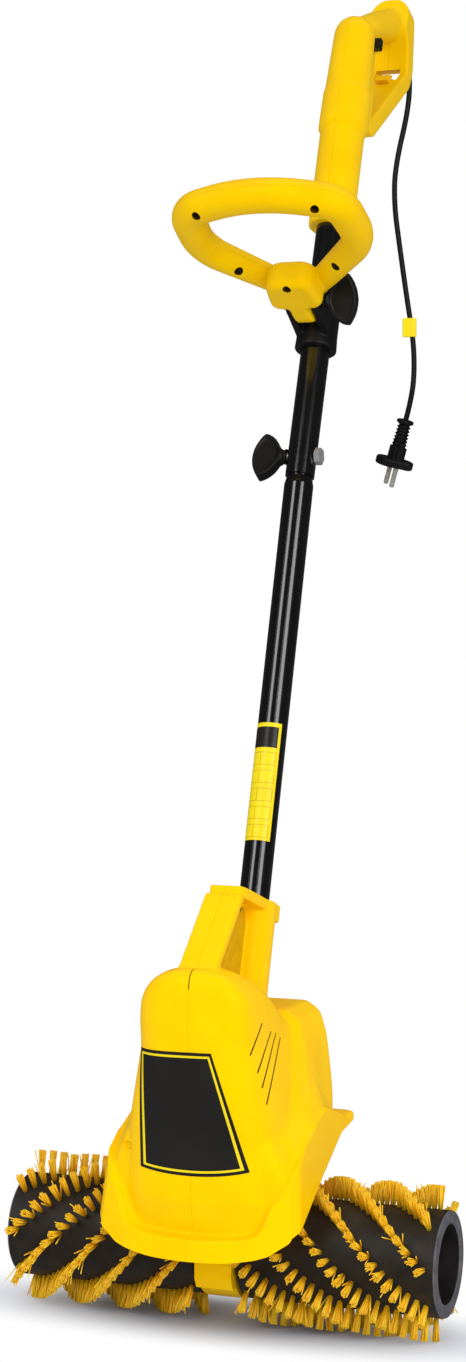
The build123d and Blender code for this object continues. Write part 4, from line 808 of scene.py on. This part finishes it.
def tuft_tree():
    """Strands in tufts on a helix: every strand is placed from its number."""
    tree = bpy.data.node_groups.new("tufts", "GeometryNodeTree")
    for kind, labels in TUFT_INPUTS.items():
        for label in labels:
            tree.interface.new_socket(label, in_out="INPUT", socket_type="NodeSocket" + kind)
    tree.interface.new_socket("Geometry", in_out="OUTPUT", socket_type="NodeSocketGeometry")
    given = node(tree, "NodeGroupInput").outputs
    value = {label: given[label] for labels in TUFT_INPUTS.values() for label in labels}
    value["index"] = node(tree, "GeometryNodeInputIndex").outputs[0]
    for name, (lowest, highest, salt) in STRAND_DRAWS.items():
        seed = node(tree, "ShaderNodeMath", {"operation": "ADD", 1: salt}, {0: value["Seed"]})
        draw = node(tree, "FunctionNodeRandomValue", {"data_type": "FLOAT", 2: lowest, 3: highest},
                    {"Seed": seed.outputs[0]})
        value[name] = draw.outputs[1]
    for name, operation, *sources in STRAND_RULE:
        fixed = {i: source for i, source in enumerate(sources) if not isinstance(source, str)}
        linked = {i: value[source] for i, source in enumerate(sources) if isinstance(source, str)}
        step = node(tree, "ShaderNodeMath", {"operation": operation, **fixed}, linked)
        value[name] = step.outputs[0]
    points = node(tree, "GeometryNodePoints", None, {"Count": value["all strands"]})
    ends = []
    for side_x, side_y, height in (("root x", "root y", "Root radius"), ("tip x", "tip y", "tip height")):
        local = node(tree, "ShaderNodeCombineXYZ", None,
                     {"X": value[side_x], "Y": value[side_y], "Z": value[height]})
        turned_to = node(tree, "ShaderNodeVectorRotate", {"rotation_type": "X_AXIS"},
                         {"Vector": local.outputs[0], "Angle": value["turn"]})
        centre = node(tree, "ShaderNodeCombineXYZ", None, {"X": value["along"], "Z": value["Axle height"]})
        placed = node(tree, "ShaderNodeVectorMath", {"operation": "ADD"},
                      {0: turned_to.outputs[0], 1: centre.outputs[0]})
        ends.append(placed.outputs[0])
    reach = node(tree, "ShaderNodeVectorMath", {"operation": "SUBTRACT"}, {0: ends[1], 1: ends[0]})
    length = node(tree, "ShaderNodeVectorMath", {"operation": "LENGTH"}, {0: reach.outputs[0]})
    set_roots = node(tree, "GeometryNodeSetPosition", None,
                     {"Geometry": points.outputs[0], "Position": ends[0]})
    toned = node(tree, "GeometryNodeStoreNamedAttribute", {"data_type": "FLOAT", "domain": "POINT"},
                 {"Geometry": set_roots.outputs[0], "Value": value["tone"]})
    toned.inputs["Name"].default_value = "strand_tone"
    strand = node(tree, "GeometryNodeMeshCone",
                  {"Vertices": 5, "Radius Top": 0.85, "Radius Bottom": 1.0, "Depth": 1.0})
    lean = node(tree, "FunctionNodeAlignRotationToVector", {"axis": "Z"}, {"Vector": reach.outputs[0]})
    size = node(tree, "ShaderNodeCombineXYZ", None, {
        "X": value["Strand radius"], "Y": value["Strand radius"], "Z": length.outputs["Value"]})
    placed = node(tree, "GeometryNodeInstanceOnPoints", None, {
        "Points": toned.outputs[0], "Instance": strand.outputs["Mesh"],
        "Rotation": lean.outputs[0], "Scale": size.outputs[0]})
    real = node(tree, "GeometryNodeRealizeInstances", None, {"Geometry": placed.outputs[0]})
    coated = node(tree, "GeometryNodeSetMaterial", None,
                  {"Geometry": real.outputs[0], "Material": value["Strand"]})
    node(tree, "NodeGroupOutput", None, {"Geometry": coated.outputs[0]})
    return tree


tufts = tuft_tree()


def roller_tufts(name, seed, mirror, nodes):
    """The tufts of one roller as a plain mesh."""
    made = added(name, bpy.data.meshes.new(name))
    grow = made.modifiers.new("grow", "NODES")
    grow.node_group = tufts
    values = {"Rows": TUFT_ROWS, "Tufts per row": TUFTS_PER_ROW, "Strands per tuft": 42,
              "First tuft": TUFT_FIRST_X * MM, "Pitch": TUFT_PITCH * MM, "Turn per tuft": TUFT_TURN,
              "Axle height": AXLE_Z * MM, "Root radius": (CORE_R - 0.6) * MM, "Tip radius": TUFT_TIP_R * MM,
              "Root spread": 0.0016, "Tip spread": 0.0031, "Strand radius": 0.00052,
              "Seed": seed, "Strand": filament_pp}
    for item in tufts.interface.items_tree:
        if item.in_out == "INPUT":
            grow[item.identifier] = values[item.name]
    settled(made)
    if mirror:
        made.data.transform(Matrix.Diagonal((-1.0, 1.0, 1.0, 1.0)))
        made.data.flip_normals()
    made.data.shade_smooth()
    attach(made, "rollers")
    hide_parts(*nodes)


roller_tufts("tufts_right", 11, False, ["bristles_right"])
roller_tufts("tufts_left", 47, True, ["bristles_left"])

# Front loop handle: a round bar bent to a rounded triangle, a boss and a lug, in two halves
LOOP_CORNERS = [(-14, -14), (-71, -74), (-67, -126), (0, -147), (67, -126), (71, -74), (14, -14)]
LOOP_RADII = [0, 46, 24, 130, 24, 46, 0]
LOOP_R = 14.5
LOOP_END_R = 10.5
LOOP_SWELL = 110.0


def loop_bar(centreline, steps=28):
    """A closed round bar along an open line in the loop's plane, thinner towards both ends."""
    rings = []
    for k, here in enumerate(centreline):
        from_end = min((here - centreline[0]).length, (here - centreline[-1]).length)
        radius = LOOP_END_R + (LOOP_R - LOOP_END_R) * min(1.0, from_end / LOOP_SWELL)
        before = centreline[max(0, k - 1)]
        after = centreline[min(len(centreline) - 1, k + 1)]
        along = (after - before).normalized()
        aside = Vector((-along.y, along.x, 0.0))
        rings.append([LOOP @ p for p in oval(here.to_3d(), aside, Z_AXIS, radius, radius, steps)])
    return lofted(rings)


def domed_block(outline, low, high, edge, place):
    """A prism whose top and bottom edges are drawn in by a rounded edge."""
    centre = sum((Vector(p) for p in outline), Vector((0.0, 0.0))) / len(outline)
    rings = []
    for turn in [radians(a) for a in range(0, 91, 15)]:
        inset, height = edge * (1 - sin(turn)), low + edge * (1 - cos(turn))
        rings.append((inset, height))
    rings += [(inset, low + high - height) for inset, height in reversed(rings)]
    made = []
    for inset, height in rings:
        ring = []
        for p in outline:
            arm = Vector(p) - centre
            spot = centre + arm * max(0.05, 1 - inset / max(arm.length, 0.01))
            ring.append(place @ Vector((spot.x, spot.y, height)))
        made.append(ring)
    return lofted(made)


loop_boss = softened([(-20, -50), (20, -50), (24, -12), (-24, -12)], [12, 12, 8, 8])
lug_outline = arc(0, 0, 18, range(-90, 91, 10)) + [(-30, 16), (-30, -18)]
loop_skin = skin("loop", [
    loop_bar(softened(LOOP_CORNERS, LOOP_RADII, 14)),
    domed_block(loop_boss, -26, 1, 6, LOOP),
    extruded(lug_outline, -8, 8, LUG_SIDE),
])
run_together(loop_skin, 1.2, 14)
LOOP_WELL_R = 3.7
LOOP_BOLT_R = 3.6
LOOP_SCREWS = [(-51, -136), (51, -136), (-43, -52), (43, -52), (0, -44)]
loop_uncut = face_tree_of(loop_skin)
# Room about the hinge for the fork, the bolt head and the sweep of the wing knob: radius and X
FORK_ROOM = [(13.8, 8.2), (13.8, 15.3), (9.4, 15.4), (9.4, 21.0)]
KNOB_ROOM = FORK_ROOM + [(14.5, 24.5), (19.5, 30.0), (23.0, 35.0), (23.2, 39.0), (18.5, 42.5),
                         (13.5, 45.0), (6.5, 47.0)]
combined(loop_skin, turned_at([(LOOP_WELL_R, -40), (LOOP_WELL_R, -7)], LOOP, LOOP_SCREWS) + [
    turned([(LOOP_BOLT_R, -12), (LOOP_BOLT_R, 12)], LUG_SIDE, 24),
    turned(KNOB_ROOM, LUG_SIDE),
    turned([(radius, -x) for radius, x in FORK_ROOM], LUG_SIDE),
], "DIFFERENCE")
loop_halves = parted(loop_skin, LOOP, "aux_handle", grip_pp,
                     ("loop_handle_upper", "aux_grip_upper"), ("loop_handle_lower", "aux_grip_lower"))
# Painted shade in the screw wells of the lower half
paint_recess_shade(loop_halves[1], loop_uncut)
# Outline of the cross slot in a screw's head
CROSS = [(-1.8, -0.4), (-0.4, -0.4), (-0.4, -1.8), (0.4, -1.8), (0.4, -0.4), (1.8, -0.4),
         (1.8, 0.4), (0.4, 0.4), (0.4, 1.8), (-0.4, 1.8), (-0.4, 0.4), (-1.8, 0.4)]


def cross_screws(name, place, spots, body, nodes):
    """Pan head screws with a cross slot, sunk from below at some spots of the place."""
    shank = [(2.2, -12.6), (3.0, -11.8), (3.0, -10.0), (1.5, -9.8), (1.5, -2.0)]
    made = skin(name, turned_at(shank, place, spots))
    slots = [extruded([(x + a, y + b) for a, b in CROSS], -14, -11.2, place) for x, y in spots]
    combined(made, slots, "DIFFERENCE")
    dressed(made, body, screw_steel, nodes)


cross_screws("loop_handle_screws", LOOP @ Matrix.Translation((0, 0, 2.0)), LOOP_SCREWS, "aux_handle",
             ["aux_screws"])

# Clamp on the tube with a fork for the lug
fork_arm = [(0, 124), (0, 170), (-HINGE_OUT, 160)] + arc(-HINGE_OUT, HINGE_RISE, 13, range(100, 271, 10))
clamp = skin("tube_clamp", [
    turned([(17.6, 118), (18.2, 119), (17.6, 131), (17.5, 170), (16.5, 172)], UPPER),
    extruded(fork_arm, FORK_IN, FORK_HALF, UPPER_SIDE),
    extruded(fork_arm, -FORK_HALF, -FORK_IN, UPPER_SIDE),
])
run_together(clamp, 0.9, 4)
TUBE_FIT_R = TUBE_R + FIT
combined(clamp, [turned([(TUBE_FIT_R, 100), (TUBE_FIT_R, 190)], UPPER),
                 box((0, 110, -1), (40, 180, 1), UPPER_SIDE)], "DIFFERENCE")
dressed(clamp, "head", knob_nylon, ["handle_clamp"])


# Wing knobs: a round neck and a dished leaf, whose edge is two arcs
DISH_SHARE = 0.80


def wing_knob(name, origin, long_way, out_way, body, node_name):
    """A knob whose leaf stands along long_way and reaches out along out_way."""
    wing = seat(origin, long_way, out_way)
    neck = seat(origin, long_way, long_way.cross(out_way) * -1.0)
    leaf = arc(0.0, -3.2, 34.2, range(50, 131, 8)) + arc(0.0, 29.2, 23.2, range(-156, -23, 11))
    middle = Vector((0.0, 19.0))
    dish = [middle + (Vector(p) - middle) * DISH_SHARE for p in leaf]
    stem = turned([(7.0, 0.0), (7.0, 2.2), (5.6, 3.0), (7.6, 6.0)], neck, 40)
    made = skin(name, [extruded(leaf, -5.2, 5.2, wing), stem])
    run_together(made, 0.7, 4)
    combined(made, [extruded(dish, 4.1, 9, wing), extruded(dish, -9, -4.1, wing)], "DIFFERENCE")
    run_together(made, 0.55, 3)
    dressed(made, body, knob_nylon, [node_name])


BOLT = JOINT + UPPER_UP * BOLT_RISE
KNOB_TURN = radians(12.0)
joint_long = UPPER_BACK * sin(KNOB_TURN) + UPPER_UP * cos(KNOB_TURN)
aux_long = UPPER_UP * cos(2 * KNOB_TURN) - UPPER_BACK * sin(2 * KNOB_TURN)
wing_knob("joint_wing_knob", BOLT - X_AXIS * (TUBE_R + KNOB_GAP), joint_long, -X_AXIS,
          "joint_knob", "joint_knob")
wing_knob("loop_wing_knob", HINGE + X_AXIS * (FORK_HALF + KNOB_GAP), aux_long, X_AXIS,
          "aux_knob", "aux_knob")

# Rear handle: sleeve, bar, back wall and brace, in two halves
strap_outline = softened(
    [(84, 115), (101, 114), (116, 52), (111, 33), (30, -64), (6, -64), (6, -51), (20, -51), (98.7, 43),
     (93, 67), (80, 81)],
    [2, 8, 14, 14, 8, 0, 0, 4, 6, 10, 2])
sleeve_profile = [(19.3, -169), (19.8, -168), (19.8, -76), (20.6, -75), (22.0, -73), (21.4, -37),
                  (20.4, -34), (18.4, 22)]
sleeve_profile += [(18.4 * cos(radians(a)), 22 + 19 * sin(radians(a))) for a in range(10, 81, 10)]
# Each ring of the bar: distance, half width, half height and drop of its middle
BAR_RINGS = [(2, 12.0, 7.0, 4.0), (14, 14.0, 9.0, 3.5), (30, 14.6, 11.5, 2.5), (58, 14.8, 13.8, 1.0),
             (88, 15.0, 15.0, 0.0)]
BAR_RINGS += [(88 + 26 * k / 8, 15 + 4 * (k / 8) ** 2, 15 + 4 * (k / 8) ** 2, 0.0) for k in range(1, 9)]
BAR_RINGS += [(120, 19.0, 19.0, 0.0)]
grip_bar = lofted([[BAR @ p for p in oval(Vector((0, drop, distance)), X_AXIS, Y_AXIS, wide, tall, 48)]
                   for distance, wide, tall, drop in BAR_RINGS])
STRAP_HALF = 19.0
strap = skin("strap", [extruded(strap_outline, -STRAP_HALF, STRAP_HALF, GRIP_SIDE)])
crown = [(STRAP_HALF, -80)] + arc(0, 96.5, STRAP_HALF, range(0, 181, 10)) + [(-STRAP_HALF, -80)]
combined(strap, [extruded(crown, -150, 20, GRIP_FRONT)], "INTERSECT")
# Behind the sleeve a flat pad narrows upwards to the lock button: height, half width, back
SLEEVE_PAD = [(-62, 19.0, 18.0), (-30, 18.0, 21.0), (33, 13.0, 21.0)]
sleeve_pad = lofted([[GRIP_SIDE @ Vector((v, w, x))
                      for v, x in ((2, -half), (back, -half), (back, half), (2, half))]
                     for w, half, back in SLEEVE_PAD])
rear = skin("rear", [turned(sleeve_profile, GRIP), grip_bar, form_of(strap), sleeve_pad])
run_together(rear, 1.2, 7)
GRIP_WELL_R = 3.2
GRIP_SCREWS = [(-16.2, -155), (16.2, -155), (-6.0, -20), (64.4, -10.4), (-4.0, 18), (94, 100)]
gland_way = seat(Vector((0, 0, GLAND.z)), X_AXIS, -Z_AXIS)
# Screw wells, then the openings for the cord, the lock button, the trigger, the tube and the gland
combined(rear, turned_at([(GRIP_WELL_R, -40), (GRIP_WELL_R, -10)], GRIP_SIDE, GRIP_SCREWS) + [
    extruded([(88, 30), (125, 43.5), (125, 57), (88, 43.5)], -12, 12, GRIP_SIDE),
    box((11.6, 16.4, 0), (18.4, 27.6, 40), GRIP_SIDE),
    box((-6.4, 5, 23.5), (6.4, 24, 66), BAR),
    turned([(TUBE_FIT_R, -200), (TUBE_FIT_R, 0)], GRIP),
    turned([(FLANGE_R + FIT, 424.5), (FLANGE_R + FIT, 445)], gland_way, 40),
], "DIFFERENCE")
# The hook in the cord's opening, and a small lug inside the brace
combined(rear, [extruded([(99, 30), (104, 31), (104, 40), (99, 38)], -5, 5, GRIP_SIDE),
                extruded([(75, 23), (80, 31), (90, 36), (84, 24)], -4, 8, GRIP_SIDE)], "UNION")
parted(rear, GRIP_SIDE, "head", grip_pp,
       ("rear_handle_shell_right", "rear_handle_right"), ("rear_handle_shell_left", "rear_handle_left"))
cross_screws("rear_handle_cross_screws", GRIP_SIDE, GRIP_SCREWS, "head", ["rear_handle_screws"])


# Sticker on the lower tube: yellow film with a plain dark block and blank boxes
def tube_point(angle, height, lift):
    """A point of the lower tube, by its angle from the front and its height, raised off the enamel."""
    radius, turn = TUBE_R + lift, radians(angle)
    return LOWER @ Vector((radius * sin(turn), -radius * cos(turn), height))


def tube_film(name, patches, material, lift):
    """Film wrapped on the lower tube: patches of angle and height."""
    patches = [(angles, heights, 24, 1) for angles, heights in patches]
    film(name, patches, tube_point, material, lift, FILM_UNDER)


BOX_SIDES = (-66, 46)
tube_film("tube_label", [((-76, 58), (-317, -218))], vinyl_yellow, 0.10)
tube_film("tube_label_block", [(BOX_SIDES, (-239, -221.5))], vinyl_black, 0.14)
# Each box: two lines across, and three uprights by their angles
BOX_TOP, BOX_PITCH, BOX_TALL, BOX_LINE = -243.0, 15.2, 10.8, 0.4
BOX_COUNT = 5
BOX_UPRIGHTS = [(-66, -64.2), (44.2, 46), (-14.9, -13.1)]
label_boxes = []
for k in range(BOX_COUNT):
    top = BOX_TOP - BOX_PITCH * k
    low = top - BOX_TALL
    label_boxes += [(BOX_SIDES, (top - BOX_LINE, top)), (BOX_SIDES, (low, low + BOX_LINE))]
    label_boxes += [(upright, (low + BOX_LINE, top - BOX_LINE)) for upright in BOX_UPRIGHTS]
tube_film("tube_label_lines", label_boxes, vinyl_amber, 0.13)

# Cord pieces: tapered relief, tag and plug
flange_profile = [(6.0, -10.0), (FLANGE_R, 0.0), (FLANGE_R, 1.8), (8.2, 2.5), (5.0, 2.6)]
gland_flange = skin("gland_flange", [turned(flange_profile, seat(GLAND, X_AXIS, -Z_AXIS), 48)])
dressed(gland_flange, "head", lead_pvc)
RELIEF_LENGTH = 24.0
RELIEF_R = 5.6
RELIEF_TAPER = 2.1
RELIEF_RIB = 0.35
RELIEF_RIBS = 11
relief_rings, walked = [], 0.0
for here, after in zip(cord_route, cord_route[1:]):
    if walked > RELIEF_LENGTH:
        break
    forward = (after - here).normalized()
    aside = forward.cross(X_AXIS).normalized()
    up = aside.cross(forward)
    share = walked / RELIEF_LENGTH
    radius = RELIEF_R - RELIEF_TAPER * share + (RELIEF_RIB if int(share * RELIEF_RIBS) % 2 else 0.0)
    relief_rings.append(oval(here, aside, up, radius, radius, 24))
    walked += (after - here).length
relief = skin("cord_relief", [lofted(relief_rings)])
dressed(relief, "head", lead_pvc, ["cord_gland"])

TAG_ACROSS = Vector((0.933, 0.359, 0.0))
TAG_DOWN = Vector((5.3, 2.0, -35.0)).normalized()
tag_seat = seat(GLAND + Vector((1.9, 47.2, -263.25)), TAG_ACROSS, TAG_DOWN.cross(TAG_ACROSS))
tag_outline = softened([(-8.5, -2.2), (5.2, -3.6), (5.2, 3.6), (-8.5, 2.2)], [1.2, 3.2, 3.2, 1.2])
tag = skin("cord_tag_film", [extruded(tag_outline, -9.2, 9.2, tag_seat)])
run_together(tag, 0.6, 2)
dressed(tag, "head", vinyl_yellow, ["cord_tag"])

PLUG_R, PLUG_FLAT = 18.5, 15.0
PLUG_RIBS = 6
plug_rim = [(max(-PLUG_FLAT, min(PLUG_FLAT, x)), y) for x, y in arc(0, 0, PLUG_R, range(0, 360, 5))]
plug_forms = [
    domed_block(plug_rim, -8, 0, 2.0, PLUG),
    extruded(softened([(-9, -7), (9, -7), (9, 7), (-9, 7)], [4, 4, 4, 4]), -20, -6, PLUG),
    extruded([(-11.5, -3), (-8, -3), (-8, 3), (-11.5, 3)], -24, -7, PLUG),
    extruded([(8, -3), (11.5, -3), (11.5, 3), (8, 3)], -24, -7, PLUG),
    turned([(5.0, -45.0), (5.6, -30.0), (6.6, -18.0)], PLUG, 40),
    turned([(6.0, -47.0), (8.3, -46.2), (8.3, -43.6), (5.4, -42.0)], PLUG, 40),
]
for k in range(PLUG_RIBS):
    z, root, rib = -39.5 + 3.4 * k, 5.4 + 0.18 * k, 6.7 + 0.12 * k
    plug_forms.append(turned([(root, z - 0.9), (rib, z - 0.5), (rib, z + 0.5), (root, z + 0.9)], PLUG, 40))
plug = skin("mains_plug", plug_forms)
run_together(plug, 0.55, 2)
dressed(plug, "head", lead_pvc, ["plug_body"])

cord.data.materials.append(lead_pvc)
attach(cord, "head")
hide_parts("power_cord")

# Floor, backdrop and light: white sweep, broad soft lamps
floor_mesh = bpy.data.meshes.new("floor")
FLOOR_HALF_M = 30
floor_corners = [(x * FLOOR_HALF_M, y * FLOOR_HALF_M, 0) for x, y in ((-1, -1), (1, -1), (1, 1), (-1, 1))]
floor_mesh.from_pydata(floor_corners, [], [(0, 1, 2, 3)])
floor = added("floor", floor_mesh)
# Its blue grey base colour near the rollers is painted shade, darker than the white beyond
floor_paper, floor_tree, floor_shader = finish_of(
    "paper_sweep_white_painted_shade", {"Roughness": 0.9, "Specular IOR Level": 0.0, "Base Color": linear("#B6BCCB")})
WHITE = (1.0, 1.0, 1.0, 1.0)


def white_level(tree, lit, glossy):
    """The strength of a white: full to the camera, one level as light, another in reflections."""
    ray = node(tree, "ShaderNodeLightPath")
    dim = node(tree, "ShaderNodeMapRange", {"To Min": lit, "To Max": glossy},
               {"Value": ray.outputs["Is Glossy Ray"]})
    level = node(tree, "ShaderNodeMath", {"operation": "MAXIMUM"},
                 {0: dim.outputs["Result"], 1: ray.outputs["Is Camera Ray"]})
    return level.outputs[0]


# Near the rollers the paper has a darker blue grey base, painted shade that deepens their shadow, and it goes
# over into even white, in metres
floor_place = node(floor_tree, "ShaderNodeTexCoord")
floor_squeeze = node(floor_tree, "ShaderNodeMapping", {"Scale": (0.3, 1.0, 1.0)},
                     {"Vector": floor_place.outputs["Object"]})
floor_reach = node(floor_tree, "ShaderNodeVectorMath", {"operation": "LENGTH"},
                   {0: floor_squeeze.outputs["Vector"]})
floor_share = node(floor_tree, "ShaderNodeMapRange",
                   {"interpolation_type": "SMOOTHSTEP", "From Min": 0.025, "From Max": 0.095, "To Min": 0.0},
                   {"Value": floor_reach.outputs["Value"]})
floor_white = node(floor_tree, "ShaderNodeEmission", {"Color": WHITE},
                   {"Strength": white_level(floor_tree, 0.85, 0.08)})
floor_mix = node(floor_tree, "ShaderNodeMixShader", None, {
    0: floor_share.outputs["Result"], 1: floor_shader.outputs["BSDF"], 2: floor_white.outputs["Emission"]})
floor_tree.links.new(floor_mix.outputs["Shader"], floor_tree.nodes["Material Output"].inputs["Surface"])
floor.data.materials.append(floor_paper)

world = bpy.data.worlds.new("studio")
scene.world = world
world.use_nodes = True
sky = world.node_tree
sky.nodes.clear()
back = node(sky, "ShaderNodeBackground", {"Color": WHITE}, {"Strength": white_level(sky, 0.76, 0.05)})
node(sky, "ShaderNodeOutputWorld", None, {"Surface": back.outputs[0]})


def soft_lamp(name, place, aim, wide, tall, watts):
    """A rectangular studio lamp aimed at a point, in metres."""
    data = bpy.data.lights.new(name, "AREA")
    data.shape = "RECTANGLE"
    data.size = wide
    data.size_y = tall
    data.energy = watts
    made = added(name, data)
    made.location = place
    made.rotation_euler = (Vector(aim) - Vector(place)).to_track_quat("-Z", "Y").to_euler()


soft_lamp("key", (-0.9, -2.6, 2.2), (0.0, 0.05, 0.45), 1.0, 1.4, 22.0)
soft_lamp("fill", (2.3, -1.7, 1.5), (0.0, 0.1, 0.5), 1.2, 1.8, 34.0)
soft_lamp("top", (0.2, 0.3, 3.2), (0.0, 0.0, 0.0), 2.0, 2.0, 6.0)
soft_lamp("strip_right", (1.25, -1.9, 0.75), (0.0, 0.1, 0.6), 0.05, 2.4, 3.0)
soft_lamp("strip_left", (-1.3, -1.6, 0.75), (0.0, 0.1, 0.6), 0.04, 2.4, 1.2)

scene.view_settings.view_transform = "Standard"
